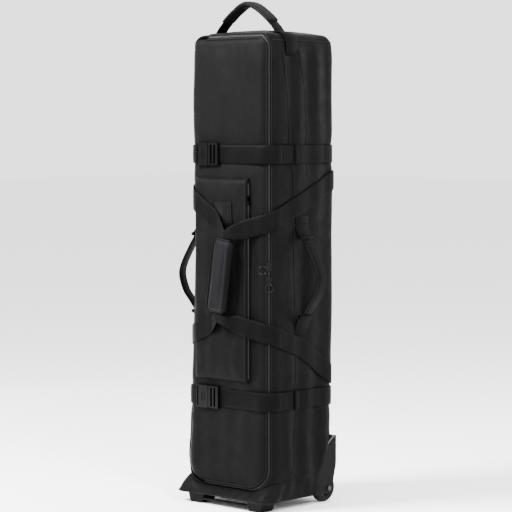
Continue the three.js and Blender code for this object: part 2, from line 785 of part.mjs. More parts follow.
// ---------- side handles ----------
// Each folded tab stands out from the side and the handle bows out between two of them.
// [distance out from the side, height]
const sideHandle = {
  right: { y: -8, lean: 0, foldOut: 18, bow: 56 },
  left: { y: -66, lean: radians(45), foldOut: 28, bow: 46 },
  topFold: 735,
  bottomFold: 521,
  tabWidth: 52,
  strapWidth: 38,
};
// A tab's route from the side to its fold: [distance out, height].
const tabRoute = (foldOut, start, fold) => {
  const drop = Math.sign(fold - start);
  return [[1.7, start], [1.7, fold - 36 * drop], [foldOut * 0.36, fold - 21 * drop], [foldOut, fold]];
};
// The handle's shape: [share of its bow, height].
const bowShape = [[0.11, 727], [0.45, 697], [0.86, 655], [1, 622], [0.77, 580], [0.41, 552], [0.11, 529]];
for (const [name, side] of sides) {
  const { y, lean, foldOut, bow } = sideHandle[name];
  const tabFrame = new THREE.Group();
  tabFrame.position.set(side * sideX, y, 0);
  travelCase.add(tabFrame);
  const framesOf = (points) =>
    points.map(([out, z], i) => {
      const [before, after] = [points[Math.max(i - 1, 0)], points[Math.min(i + 1, points.length - 1)]];
      const run = vector(after[0] - before[0], 0, after[1] - before[1]).normalize();
      return { at: vector(out, 0, z), u: vector(-run.z, 0, run.x), v: vector(0, 1, 0) };
    });
  for (const [level, start, foldZ] of [
    ["upper", 792, sideHandle.topFold],
    ["lower", 470, sideHandle.bottomFold],
  ]) {
    const route = tabRoute(foldOut, start, foldZ);
    const roll = new THREE.CylinderGeometry(5, 5, sideHandle.tabWidth, 14).translate(foldOut, 0, foldZ);
    const tab = swept(framesOf(route), flat(2, sideHandle.tabWidth)).add(solid(roll));
    add(`${name}_handle_tab_${level}`, mirrored(tab, side), materials.webbing, tabFrame);
  }
  const curve = new THREE.CatmullRomCurve3(bowShape.map(([share, z]) => vector(share * bow, 0, z)));
  const route = curve.getSpacedPoints(14).map((p) => [p.x, p.z]);
  const upright = swept(framesOf(route), flat(3.2, sideHandle.strapWidth));
  const handle = upright.rotate([0, 0, -THREE.MathUtils.radToDeg(lean)]);
  const handleMesh = add(`${name}_handle_strap`, mirrored(handle, side), materials.webbing, tabFrame);
  handleMesh.position.x = side * foldOut;
}

travelCase.position.y = frameShiftY;
export default travelCase;
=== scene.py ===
# %% [markdown]
# # A golf travel case in black polyester
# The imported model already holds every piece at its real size. This lesson dresses it: padded cloth walls,
# webbing, zips, buckles and wheels, each made with ordinary bmesh operators and a procedural finish.

# %% Open the frame
import math

import bmesh
import bpy
from mathutils import Matrix, Vector, noise


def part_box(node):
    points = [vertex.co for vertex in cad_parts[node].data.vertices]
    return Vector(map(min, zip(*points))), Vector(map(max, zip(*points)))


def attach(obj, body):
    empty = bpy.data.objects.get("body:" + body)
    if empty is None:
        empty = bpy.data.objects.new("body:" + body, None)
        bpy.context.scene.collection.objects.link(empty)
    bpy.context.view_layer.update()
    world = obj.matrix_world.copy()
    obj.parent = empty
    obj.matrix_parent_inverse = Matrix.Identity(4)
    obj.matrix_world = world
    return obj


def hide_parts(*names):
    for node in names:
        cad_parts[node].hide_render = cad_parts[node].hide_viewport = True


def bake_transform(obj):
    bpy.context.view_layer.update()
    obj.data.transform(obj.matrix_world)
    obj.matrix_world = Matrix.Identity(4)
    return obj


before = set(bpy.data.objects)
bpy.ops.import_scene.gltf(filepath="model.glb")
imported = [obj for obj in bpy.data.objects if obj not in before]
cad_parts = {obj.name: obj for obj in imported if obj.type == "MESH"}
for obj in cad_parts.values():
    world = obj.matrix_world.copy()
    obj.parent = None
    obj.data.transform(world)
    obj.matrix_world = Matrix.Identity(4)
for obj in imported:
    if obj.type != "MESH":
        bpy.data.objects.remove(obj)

scene = bpy.context.scene
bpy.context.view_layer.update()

# %% [markdown]
# ## Camera, floor and light
# A tall narrow object is best seen from far away with a long lens, so its upright edges stay upright.
# The camera stands to the right of the front, a little above the middle of the case.

# %% Camera
azimuth, elevation, distance = math.radians(44.15), math.radians(3.48), 5.771
target = Vector((-0.0235, 0.0205, 0.6757))
towards_camera = Vector(
    (
        math.sin(azimuth) * math.cos(elevation),
        -math.cos(azimuth) * math.cos(elevation),
        math.sin(elevation),
    )
)
camera = bpy.data.objects.new("camera", bpy.data.cameras.new("camera"))
camera.data.lens = 147.4
camera.location = target + towards_camera * distance
camera.rotation_euler = towards_camera.to_track_quat("Z", "Y").to_euler()
scene.collection.objects.link(camera)
scene.camera = camera
print("camera at", [round(c, 2) for c in camera.location])

# %% [markdown]
# Black cloth shows its shape only where light grazes it. A soft light stands high in front, so the top is
# brighter than the foot, a tall one lights the side, and a narrow strip draws each far edge. The floor and
# the world are nearly white.


# %% Lights and floor
def softbox(name, position, size, watts, aim):
    light = bpy.data.lights.new(name, "AREA")
    light.shape = "RECTANGLE"
    light.size, light.size_y = size
    light.energy = watts
    lamp = bpy.data.objects.new(name, light)
    lamp.location = position
    lamp.rotation_euler = (Vector(position) - Vector(aim)).to_track_quat("Z", "Y").to_euler()
    scene.collection.objects.link(lamp)


softbox("front_left", (-0.9, -1.9, 2.8), (0.9, 1.1), 560, (0, 0, 1.4))
softbox("right_side", (2.3, -0.9, 2.0), (0.5, 1.4), 190, (0.1, 0, 1.0))
softbox("left_edge", (-2.6, 0.7, 1.1), (0.4, 2.4), 16, (-0.1, 0, 0.7))
softbox("back_edge", (1.4, 2.8, 1.5), (0.5, 2.4), 70, (0.1, 0.1, 0.7))

world = bpy.data.worlds.new("studio")
world.use_nodes = True
world.node_tree.nodes["Background"].inputs["Color"].default_value = (1, 1, 1, 1)
world.node_tree.nodes["Background"].inputs["Strength"].default_value = 2.4
scene.world = world

floor_mesh = bpy.data.meshes.new("floor")
floor_shape = bmesh.new()
bmesh.ops.create_grid(floor_shape, x_segments=1, y_segments=1, size=30)
floor_shape.to_mesh(floor_mesh)
floor_shape.free()
floor = bpy.data.objects.new("floor", floor_mesh)
scene.collection.objects.link(floor)

# %% [markdown]
# ## Finishes
# Each finish is one Principled shader. A `Finish` keeps the shader and chains its bumps, so a weave and a
# crease can be laid over each other one at a time.


# %% A helper for building finishes
class Finish:
    def __init__(self, name, colour, roughness, metallic=0.0, coat=0.0, sheen=0.0, specular=0.5):
        self.material = bpy.data.materials.new(name)
        self.material.use_nodes = True
        self.nodes = self.material.node_tree.nodes
        self.links = self.material.node_tree.links
        self.shader = self.nodes["Principled BSDF"]
        self.shader.inputs["Base Color"].default_value = (*colour, 1)
        self.shader.inputs["Roughness"].default_value = roughness
        self.shader.inputs["Metallic"].default_value = metallic
        self.shader.inputs["Coat Weight"].default_value = coat
        self.shader.inputs["Coat Roughness"].default_value = 0.2
        self.shader.inputs["Sheen Weight"].default_value = sheen
        self.shader.inputs["Sheen Roughness"].default_value = 0.45
        self.shader.inputs["Specular IOR Level"].default_value = specular
        self.colour = colour
        self.last_bump = None

    def coordinates(self, kind, scale=(1, 1, 1), turn=(0, 0, 0)):
        source = self.nodes.new("ShaderNodeTexCoord")
        mapping = self.nodes.new("ShaderNodeMapping")
        mapping.inputs["Scale"].default_value = scale
        mapping.inputs["Rotation"].default_value = turn
        self.links.new(source.outputs[kind], mapping.inputs["Vector"])
        return mapping.outputs["Vector"]

    def noise(self, scale, detail=3.0, kind="Object", stretch=(1, 1, 1)):
        texture = self.nodes.new("ShaderNodeTexNoise")
        texture.inputs["Scale"].default_value = scale
        texture.inputs["Detail"].default_value = detail
        self.links.new(self.coordinates(kind, stretch), texture.inputs["Vector"])
        return texture.outputs["Fac"]

    def bands(self, period, direction, kind="Object", turn=(0, 0, 0), profile="SIN"):
        texture = self.nodes.new("ShaderNodeTexWave")
        texture.wave_type = "BANDS"
        texture.bands_direction = direction
        texture.wave_profile = profile
        texture.inputs["Scale"].default_value = math.pi / 10 / period
        self.links.new(self.coordinates(kind, turn=turn), texture.inputs["Vector"])
        return texture.outputs["Fac"]

    def mix(self, operation, first, second):
        node = self.nodes.new("ShaderNodeMath")
        node.operation = operation
        for socket, value in zip(node.inputs, (first, second)):
            if isinstance(value, (int, float)):
                socket.default_value = value
            else:
                self.links.new(value, socket)
        return node.outputs["Value"]

    def bump(self, height, distance, strength=1.0):
        node = self.nodes.new("ShaderNodeBump")
        node.inputs["Distance"].default_value = distance
        node.inputs["Strength"].default_value = strength
        self.links.new(height, node.inputs["Height"])
        if self.last_bump:
            self.links.new(self.last_bump, node.inputs["Normal"])
        self.last_bump = node.outputs["Normal"]
        self.links.new(self.last_bump, self.shader.inputs["Normal"])

    def range(self, value, low, high, socket):
        node = self.nodes.new("ShaderNodeMapRange")
        node.inputs["From Min"].default_value = 0.3
        node.inputs["From Max"].default_value = 0.7
        node.inputs["To Min"].default_value = low
        node.inputs["To Max"].default_value = high
        self.links.new(value, node.inputs["Value"])
        self.links.new(node.outputs["Result"], self.shader.inputs[socket])

    def shade(self, value, darkest, lightest):
        ramp = self.nodes.new("ShaderNodeValToRGB")
        ramp.color_ramp.elements[0].position = 0.3
        ramp.color_ramp.elements[1].position = 0.7
        ramp.color_ramp.elements[0].color = (*[c * darkest for c in self.colour], 1)
        ramp.color_ramp.elements[1].color = (*[c * lightest for c in self.colour], 1)
        self.links.new(value, ramp.inputs["Fac"])
        self.links.new(ramp.outputs["Color"], self.shader.inputs["Base Color"])


# %% [markdown]
# Coarse polyester is a plain weave of flat threads with a faint sheen. Two wave textures multiplied
# together give the threads, and a slow noise gives the soft crinkle that coated cloth keeps.


# %% Cloth finishes
def polyester(name, colour, thread=0.0011):
    cloth = Finish(name, colour, 0.62, sheen=0.002, specular=0.03)
    cloth.shade(cloth.noise(9, 5), 0.8, 1.25)
    cloth.range(cloth.noise(40, 4), 0.46, 0.62, "Roughness")
    across = cloth.bands(thread, "DIAGONAL")
    up = cloth.bands(thread, "Z")
    cloth.bump(cloth.mix("MULTIPLY", across, up), 0.00025, 0.7)
    cloth.bump(cloth.noise(22, 4, stretch=(1.6, 1.6, 0.7)), 0.0035, 0.55)
    cloth.bump(cloth.noise(120, 3), 0.0006, 0.35)
    return cloth.material


shell_cloth = polyester("shell_cloth", (0.0011, 0.0011, 0.0012))
# The lid is the same polyester with a slightly lighter colour, a painted lit tone for the front face that the
# lamp in front lights.
lid_cloth_painted_lighter = polyester("lid_cloth_painted_lighter", (0.0013, 0.0013, 0.00145))
pocket_cloth = polyester("pocket_cloth", (0.0011, 0.0011, 0.00125))
pad_cloth = polyester("pad_cloth", (0.0030, 0.0030, 0.0033), 0.0009)

lining = Finish("lining", (0.030, 0.030, 0.032), 0.75, sheen=0.02, specular=0.2)
lining.shade(lining.noise(7, 4), 0.85, 1.15)
lining.bump(lining.mix("MULTIPLY", lining.bands(0.0016, "X"), lining.bands(0.0016, "Z")), 0.0002, 0.6)
lining.bump(lining.noise(16, 4), 0.003, 0.5)
print("cloth finishes:", [m.name for m in bpy.data.materials if "cloth" in m.name or m.name == "lining"])

# %% [markdown]
# Webbing is woven in a narrow loom, so its ribs run straight across it. That pattern has to turn with the
# strap, so it reads the strap's own UV map, where U is metres along the strap and V metres across it.


# %% Webbing finish
def webbing_finish(name, colour, roughness=0.55):
    weave = Finish(name, colour, roughness, sheen=0.001, specular=0.03)
    ribs = weave.bands(0.0024, "X", "UV")
    cords = weave.bands(0.0036, "Y", "UV")
    weave.shade(weave.noise(30, 4), 0.8, 1.25)
    weave.bump(weave.mix("MULTIPLY", ribs, cords), 0.0004, 0.8)
    weave.bump(weave.noise(60, 3), 0.0008, 0.4)
    return weave.material


strap_webbing = webbing_finish("strap_webbing", (0.0006, 0.0006, 0.00065))
haul_webbing = webbing_finish("haul_webbing", (0.0008, 0.0008, 0.00088))
zip_tape = webbing_finish("zip_tape", (0.0018, 0.0018, 0.0019), 0.6)
print("webbing finishes ready")

# %% [markdown]
# Hard pieces: moulded acetal for the buckles, grained plastic for the base, rubber tyres, dark plated metal
# for the zip sliders and zinc-plated steel in the wheels. Each has its own roughness and a faint surface.


# %% Plastic, rubber and metal finishes
acetal = Finish("buckle_acetal", (0.0010, 0.0010, 0.0011), 0.24, coat=0.06, specular=0.04)
acetal.range(acetal.noise(60, 3), 0.14, 0.26, "Roughness")
acetal.bump(acetal.noise(500, 2), 0.00008, 0.4)

grained = Finish("grained_plastic", (0.0013, 0.0013, 0.0014), 0.5, specular=0.05)
grained.range(grained.noise(30, 4), 0.42, 0.58, "Roughness")
grained.bump(grained.noise(900, 2), 0.00015, 0.5)

# The housing rim is glossy plastic with its colour lifted well above the moulding's, a painted highlight
# along the rim.
rim_plastic_painted_highlight = Finish("rim_plastic_painted_highlight", (0.010, 0.010, 0.0105), 0.16, coat=0.3)
rim_plastic_painted_highlight.range(rim_plastic_painted_highlight.noise(50, 3), 0.12, 0.24, "Roughness")

tyre_rubber = Finish("tyre_rubber", (0.0018, 0.0018, 0.0018), 0.6, specular=0.08)
tyre_rubber.shade(tyre_rubber.noise(45, 5), 0.8, 1.6)
tyre_rubber.bump(tyre_rubber.noise(400, 3), 0.0002, 0.5)

coil_nylon = Finish("zip_coil", (0.0050, 0.0050, 0.0052), 0.4, specular=0.2)
coil_nylon.range(coil_nylon.noise(80, 2), 0.36, 0.48, "Roughness")

gunmetal = Finish("gunmetal", (0.0140, 0.0140, 0.0145), 0.16, metallic=1.0)
gunmetal.range(gunmetal.noise(120, 3), 0.12, 0.24, "Roughness")
gunmetal.bump(gunmetal.noise(300, 2), 0.00005, 0.3)

zinc = Finish("zinc_steel", (0.040, 0.040, 0.042), 0.3, metallic=1.0)
zinc.range(zinc.noise(90, 4), 0.24, 0.42, "Roughness")

patch_rubber = Finish("patch_rubber", (0.0013, 0.0013, 0.0014), 0.42, specular=0.05)
patch_rubber.bump(patch_rubber.noise(260, 3), 0.0002, 0.5)

thread_finish = Finish("thread", (0.005, 0.005, 0.0053), 0.5, specular=0.1)
thread_finish.bump(thread_finish.noise(800, 2), 0.0001, 0.5)

floor_finish = Finish("floor_finish", (0.93, 0.93, 0.93), 0.9)
floor_finish.bump(floor_finish.noise(3, 2), 0.001, 0.1)
floor.data.materials.append(floor_finish.material)
print(len(bpy.data.materials), "materials in all")

# %% [markdown]
# ## The plan outline
# Everything soft on this case follows one outline: a rectangle with round corners. A place on it is a
# distance in metres from the middle of the front, to the right if positive and to the left if negative.

# %% Sizes read from the frame
shell_low, shell_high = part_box("main_shell")
lid_low, lid_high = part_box("lid_panel")
half_width = shell_high.x
front_y, back_y = lid_low.y, shell_high.y
case_bottom, case_top = shell_low.z, shell_high.z
front_radius, back_radius, edge_round = 0.038, 0.034, 0.030
front_flat = half_width - front_radius
side_start = front_flat + front_radius * math.pi / 2
back_start = side_start + (back_y - front_y) - front_radius - back_radius
back_flat_start = back_start + back_radius * math.pi / 2
half_round = back_flat_start + half_width - back_radius
zip_place = front_flat + front_radius * math.pi / 4
print("half the way round is", round(half_round, 3), "m")


# %% From a place to a point
def on_case(place):
    """The point on the outline at a place, and the direction out of the case there."""
    if abs(place) > half_round:
        place -= math.copysign(2 * half_round, place)
    side = math.copysign(1, place)
    run = abs(place)
    if run <= front_flat:
        point, out = (run, front_y), (0, -1)
    elif run <= side_start:
        a = (run - front_flat) / front_radius
        out = (math.sin(a), -math.cos(a))
        point = (front_flat + front_radius * out[0], front_y + front_radius + front_radius * out[1])
    elif run <= back_start:
        point, out = (half_width, front_y + front_radius + run - side_start), (1, 0)
    elif run <= back_flat_start:
        a = (run - back_start) / back_radius
        out = (math.cos(a), math.sin(a))
        centre = (half_width - back_radius, back_y - back_radius)
        point = (centre[0] + back_radius * out[0], centre[1] + back_radius * out[1])
    else:
        point, out = (half_round - run, back_y), (0, 1)
    return Vector((side * point[0], point[1], 0)), Vector((side * out[0], out[1], 0))


def smooth(t):
    """Rises from 0 to 1 with level ends."""
    t = min(max(t, 0), 1)
    return t * t * (3 - 2 * t)


def along(keys, place):
    """A value between keys (place, value), easing from each to the next."""
    keys = sorted(keys)
    if place <= keys[0][0]:
        return keys[0][1]
    for (p0, v0), (p1, v1) in zip(keys, keys[1:]):
        if place <= p1:
            return v0 + (v1 - v0) * smooth((place - p0) / (p1 - p0))
    return keys[-1][1]


def straight(keys, place):
    """A value between keys (place, value), in straight lines."""
    keys = sorted(keys)
    for (p0, v0), (p1, v1) in zip(keys, keys[1:]):
        if place <= p1:
            return v0 + (v1 - v0) * max(place - p0, 0) / (p1 - p0)
    return keys[-1][1]


# %% [markdown]
# ## Where the straps run
# The straps come before the cloth, because they shape it: padded walls swell between straps and are drawn
# in under them. Two level straps compress the case, and two slanting pairs meet at the grip in front.

# %% Strap routes, as heights over places
strap_height = {
    "upper": sum(corner.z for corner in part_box("upper_strap_long")) / 2,
    "lower": sum(corner.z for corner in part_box("lower_strap_long")) / 2,
}
haul_height = {
    ("right", "upper"): [(0.0275, 0.742), (0.150, 0.778), (0.258, 0.828), (0.388, 0.888)],
    ("right", "lower"): [(-0.0055, 0.518), (0.146, 0.478), (0.258, 0.434), (0.375, 0.356)],
    ("left", "upper"): [
        *[(-0.388, 0.888), (-0.260, 0.868), (-0.130, 0.842)],
        *[(-0.072, 0.806), (-0.030, 0.780), (0.0225, 0.742)],
    ],
    ("left", "lower"): [
        *[(-0.375, 0.356), (-0.260, 0.426), (-0.140, 0.462)],
        *[(-0.100, 0.474), (-0.060, 0.490), (-0.0035, 0.518)],
    ],
}


def pulls(place):
    """Heights where straps draw the wall in at a place, with how hard each does."""
    found = [(strap_height["upper"], 0.0065), (strap_height["lower"], 0.0065)]
    side = "left" if place < 0 else "right"
    for level in ("upper", "lower"):
        keys = haul_height[side, level]
        if 0.09 < abs(place) < 0.39:
            ease = smooth((abs(place) - 0.09) / 0.04) * smooth((0.39 - abs(place)) / 0.06)
            found.append((straight(keys, place), 0.0035 * ease))
    return found


def fold(place, z):
    """Upright soft folds on the sides, and slow unevenness everywhere."""
    run = abs(place)
    on_side = smooth((run - 0.175) / 0.05) * smooth((half_round - run) / 0.1)
    wander = 0.35 * noise.noise(Vector((place * 2, z * 2.2, 5.0)))
    waves = math.cos((run + 0.02 * wander) * 84 + 2.2 * math.sin(3.1 * z + math.copysign(1.3, place)))
    depth = 0.0042 * on_side * (0.55 + 0.45 * math.sin(5.5 * z + 1.0))
    slow = 0.0036 * noise.noise(Vector((place * 7, z * 4, 1.7)))
    fine = 0.0016 * noise.noise(Vector((place * 24, z * 11, 8.2)))
    return depth * waves + slow + fine


handle_place = {}
for side in ("left", "right"):
    tab_y = sum(corner.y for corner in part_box(f"{side}_handle_tab_upper")) / 2
    handle_place[side] = side_start + tab_y - front_y - front_radius


def settle(place, z):
    """The load settles: the folded front corner fills out low down and narrows at the waist."""
    near_fold = math.exp(-(((place + 0.150) / 0.055) ** 2))
    fold_keys = [(0.05, 0.004), (0.14, 0.013), (0.27, 0.009), (0.45, 0.004), (0.60, 0.0), (0.76, -0.006)]
    fold_keys += [(0.92, 0.001), (1.10, 0.004), (1.22, 0.0)]
    near_back = math.exp(-(((place - 0.42) / 0.05) ** 2)) * smooth((z - 0.2) / 0.1)
    return near_fold * along(fold_keys, z) + near_back * 0.004 * math.sin(math.pi * min(max(z / 1.2, 0), 1))


def swell(place, z):
    """How far the padded wall stands off its outline, less along the zip and behind the side handles."""
    drawn_in = sum(pull * math.exp(-(((z - height) / 0.034) ** 2)) for height, pull in pulls(place))
    near_edge = smooth((z - case_bottom) / 0.09) * smooth((case_top - z) / 0.08)
    run = abs(place)
    near_edge *= 1 - 0.85 * math.exp(-(((run - zip_place) / 0.014) ** 2))
    behind = handle_place["left" if place < 0 else "right"]
    hollow = 0.007 * math.exp(-(((z - 0.63) / 0.16) ** 4)) * math.exp(-(((run - behind) / 0.036) ** 2))
    crown = 0.004 * math.cos(min(run / front_flat, 1) * math.pi / 2)
    if run > side_start:
        crown = 0.004 * math.sin(math.pi * min((run - side_start) / (back_start - side_start), 1))
    flare = 0.006 * smooth((0.2 - z) / 0.12) * smooth((z - case_bottom) / 0.02)
    soft = near_edge * (0.0025 + crown - drawn_in - hollow + fold(place, z))
    return soft + flare + settle(place if place < half_round else place - 2 * half_round, z)


def edge_inset(z):
    """How far the rounded top and bottom edges fall back from the wall."""
    past = max(edge_round - (z - case_bottom), edge_round - (case_top - z), 0)
    return edge_round - math.sqrt(max(edge_round**2 - past**2, 0))


def on_skin(place, z, lift=0.0):
    """A point on the cloth, or lifted off it."""
    point, out = on_case(place)
    return point + Vector((0, 0, z)) + out * (swell(place, z) - edge_inset(z) + lift)


print("wall swells", round(1000 * swell(0.24, 0.65), 1), "mm on the side")

# %% [markdown]
# ## Two helpers for shapes
# `create_grid` makes a sheet of faces. Moving its vertices onto a surface gives cloth, a tube or a strap
# with tidy rows and a UV map for free, so most soft pieces here start from it.


# %% Sheet and object helpers
def sheet_of(columns, rows, put, keep=None, uv_at=None):
    """A grid of columns x rows faces: put(i, j) places a vertex, and keep(i, j) says if a face stays."""
    bm = bmesh.new()
    bmesh.ops.create_grid(bm, x_segments=columns, y_segments=rows, size=1)
    uv_layer = bm.loops.layers.uv.new("cloth")

    def cell(co):
        return (co.x + 1) / 2 * columns, (co.y + 1) / 2 * rows

    for face in bm.faces:
        for loop in face.loops:
            i, j = (round(c) for c in cell(loop.vert.co))
            loop[uv_layer].uv = uv_at(i, j) if uv_at else (i / columns, j / rows)
    dropped = []
    if keep:
        dropped = [f for f in bm.faces if not keep(*(int(c) for c in cell(f.calc_center_median())))]
    for vert in bm.verts:
        i, j = (round(c) for c in cell(vert.co))
        vert.co = put(i, j)
    bmesh.ops.delete(bm, geom=dropped, context="FACES")
    bmesh.ops.remove_doubles(bm, verts=bm.verts, dist=0.00002)
    return bm


def finish_piece(name, bm, material, body, replaces=(), rounded=True):
    """Turns a bmesh into an object that rides on a body, or on none if no body is given."""
    mesh = bpy.data.meshes.new(name)
    bm.to_mesh(mesh)
    bm.free()
    mesh.polygons.foreach_set("use_smooth", [rounded] * len(mesh.polygons))
    mesh.materials.append(getattr(material, "material", material))
    made = bpy.data.objects.new(name, mesh)
    scene.collection.objects.link(made)
    if body:
        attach(made, body)
    if replaces:
        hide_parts(*replaces)
    return made


def thicken(made, thickness, offset=-1.0, inner=None):
    """Gives a sheet its thickness; inner is the material of the side that faces in."""
    if inner:
        made.data.materials.append(getattr(inner, "material", inner))
    solidify = made.modifiers.new("thickness", "SOLIDIFY")
    solidify.thickness = thickness
    solidify.offset = offset
    solidify.use_even_offset = True
    if inner:
        solidify.material_offset = 1
    return made


def centripetal(points, steps):
    """A smooth curve through points, as steps + 1 points evenly shared between them."""
    points = [Vector(p) for p in points]
    padded = [2 * points[0] - points[1], *points, 2 * points[-1] - points[-2]]
    curve = []
    for k in range(steps + 1):
        t = k / steps * (len(points) - 1)
        n = min(int(t), len(points) - 2)
        t -= n
        p0, p1, p2, p3 = padded[n : n + 4]
        a, b, c = 2 * p0 - 5 * p1 + 4 * p2 - p3, 3 * p1 - p0 - 3 * p2 + p3, p2 - p0
        curve.append(p1 + 0.5 * (c * t + a * t * t + b * t**3))
    return curve


def ring_section(radius, sides=10):
    return [
        (radius * math.cos(2 * math.pi * k / sides), radius * math.sin(2 * math.pi * k / sides))
        for k in range(sides)
    ]


def swept(points, section, hint=Vector((0, 0, 1)), closed=False, scale=None):
    """Carries a closed section along points. Section corners are (across, up) and hint is roughly up."""
    count = len(points)
    frames = []
    for k, point in enumerate(points):
        before = points[k - 1] if closed else points[max(k - 1, 0)]
        after = points[(k + 1) % count] if closed else points[min(k + 1, count - 1)]
        run = (after - before).normalized()
        up_hint = hint(k) if callable(hint) else hint
        across = run.cross(up_hint).normalized()
        frames.append((point, across, across.cross(run).normalized()))
    lengths = [0.0]
    for p, q in zip(points, points[1:]):
        lengths.append(lengths[-1] + (q - p).length)
    lengths.append(lengths[-1] + (points[0] - points[-1]).length)
    around = [0.0]
    for (a0, b0), (a1, b1) in zip(section, section[1:] + section[:1]):
        around.append(around[-1] + math.hypot(a1 - a0, b1 - b0))

    def put(i, j):
        point, across, up = frames[i % count]
        a, b = section[j % len(section)]
        s = scale(i % count) if scale else (1, 1)
        return point + across * (a * s[0]) + up * (b * s[1])

    columns = count if closed else count - 1
    bm = sheet_of(columns, len(section), put, uv_at=lambda i, j: (lengths[i], around[j]))
    if not closed:
        bmesh.ops.holes_fill(bm, edges=[e for e in bm.edges if e.is_boundary], sides=0)
    bmesh.ops.recalc_face_normals(bm, faces=bm.faces)
    return bm


# %% A rounded block, the start of most hard pieces
def add_block(bm, low, high, edge=0.001, turn=None, segments=2):
    """Adds a block with rounded edges to a bmesh."""
    low, high = Vector(low), Vector(high)
    place = Matrix.Translation((low + high) / 2)
    if turn:
        place = place @ turn
    size = Matrix.Diagonal((*(high - low), 1))
    made = bmesh.ops.create_cube(bm, size=1, matrix=place @ size)
    corners = set(made["verts"])
    edges = [e for e in bm.edges if e.verts[0] in corners and e.verts[1] in corners]
    bmesh.ops.bevel(
        bm, geom=edges, offset=edge, segments=segments, profile=0.5, affect="EDGES", material=-1
    )


def softened(node, material, body, bevel=0.0008, name=None):
    """A CAD node's shape with its edges rounded off."""
    bm = bmesh.new()
    bm.from_mesh(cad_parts[node].data)
    bmesh.ops.remove_doubles(bm, verts=bm.verts, dist=0.00002)
    bmesh.ops.dissolve_limit(bm, angle_limit=math.radians(1), verts=bm.verts, edges=bm.edges)
    made = finish_piece(name or f"{node}_moulded", bm, material, body, [node])
    rounding = made.modifiers.new("rounding", "BEVEL")
    rounding.width = bevel
    rounding.segments = 2
    rounding.limit_method = "ANGLE"
    rounding.angle_limit = math.radians(35)
    rounding.use_clamp_overlap = True
    normals = made.modifiers.new("shading", "WEIGHTED_NORMAL")
    normals.keep_sharp = True
    return made

# %% [markdown]
# ## The opening and the tub
# The zip runs round the front in a tall rectangle with round corners. The tub behind it is one skin of
# padded cloth: a grid whose columns follow the opening, so its edge is smooth without any cutting.

# %% The opening
lid_top, lid_bottom = lid_high.z, lid_low.z
top_corner, bottom_corner = 0.034, 0.058
zip_half = 0.0055  # from the zip's middle to the cloth beside it


def opening_half(z, inset=0.0):
    """Half the opening's width at a height, as a place; inset makes the opening smaller."""
    half = zip_place - inset
    for above_edge, corner in ((lid_top - z, top_corner), (z - lid_bottom, bottom_corner)):
        room, radius = max(above_edge - inset, 0), corner - inset
        if room < radius:
            half = zip_place - inset - radius + math.sqrt(radius**2 - (radius - room) ** 2)
    return half


def opening_path(inset, step, closed=False):
    """Places and heights round the opening: bottom, right edge and top, and the left edge if closed."""
    corners = []
    signs = ((1, -1), (1, 1), (-1, 1), (-1, -1)) if closed else ((1, -1), (1, 1))
    for side, level in signs:
        radius = (top_corner if level > 0 else bottom_corner) - inset
        height = lid_top - inset - radius if level > 0 else lid_bottom + inset + radius
        centre = (side * (zip_place - inset - radius), height)
        start = {(1, -1): -90, (1, 1): 0, (-1, 1): 90, (-1, -1): 180}[side, level]
        turn = [math.radians(start + 90 * k / 24) for k in range(25)]
        corners += [(centre[0] + radius * math.cos(a), centre[1] + radius * math.sin(a)) for a in turn]
    fold_side = -(zip_place - bottom_corner)
    if closed:
        corners.append(corners[0])
    else:
        corners = [(fold_side, lid_bottom + inset), *corners, (fold_side, lid_top - inset)]
    path = []
    left_over = 0.0
    for (p0, z0), (p1, z1) in zip(corners, corners[1:]):
        length = math.hypot(p1 - p0, z1 - z0)
        at = left_over
        while at < length:
            path.append((p0 + (p1 - p0) * at / length, z0 + (z1 - z0) * at / length))
            at += step
        left_over = at - length
    return path


print("the zip is", round(0.003 * len(opening_path(0, 0.003)), 2), "m long")

# %% [markdown]
# The wheel housings replace the two lower back corners, so the cloth stops just inside their edge.

# %% The wheel corners
housing_low, housing_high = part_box("wheel_housing_right")
housing_front = [(0.028, 0.0665), (0.077, 0.0725), (0.135, 0.0905), (0.176, 0.1305), (0.184, 0.1455)]


def past_housing(place, z):
    """How far a place on the wall is behind a wheel housing's front edge, below zero if it is clear."""
    point, _ = on_case(place)
    if z > housing_high.z or abs(point.x) < housing_low.x:
        return -1.0
    return point.y - straight(housing_front, max(z, housing_front[0][0]))


def rows_between(low, high, step):
    count = max(round((high - low) / step), 1)
    return [low + (high - low) * k / count for k in range(count)]


def wall_rows(inset, step=0.009):
    """Heights from the bottom of the opening to its top, closer together round its corners."""
    low, high = lid_bottom + inset, lid_top - inset
    turn = [1 - math.cos(math.pi / 2 * k / 12) for k in range(12)]
    lower = [low + (bottom_corner - inset) * t for t in turn]
    upper = [high - (top_corner - inset) * t for t in reversed(turn)]
    middle = rows_between(low + bottom_corner - inset, high - top_corner + inset, step)
    return [*lower, *middle, high - top_corner + inset, *upper]


# %% The tub
edge_turn = [edge_round * (1 - math.cos(math.radians(10 * k))) for k in range(5)]
tub_rows = [case_bottom + t for t in edge_turn] + wall_rows(-zip_half)
tub_rows += [case_top - t for t in reversed(edge_turn[:2])]
cap_shares = (0.0, 0.25, 0.5, 0.72, 0.88)
tub_front, tub_back = 36, 150
tub_heights = [case_bottom] * 5 + tub_rows + [case_top] * 5
tub_shares = [*cap_shares, *[1] * len(tub_rows), *reversed(cap_shares)]
tub_middle = Vector((0, (front_y + back_y) / 2, 0))


def tub_place(i, z):
    half = opening_half(z, -zip_half)
    if i <= tub_front:
        return -half + 2 * half * i / tub_front
    return half + (2 * half_round - 2 * half) * (i - tub_front) / tub_back


def tub_point(i, j):
    z, share = tub_heights[j], tub_shares[j]
    rim = on_skin(tub_place(i % (tub_front + tub_back), z), z)
    centre = tub_middle + Vector((0, 0, z))
    crown = 0.013 * (1 - share**2) * (1 if z > 1 else 0)
    return centre.lerp(rim, share) + Vector((0, 0, crown))


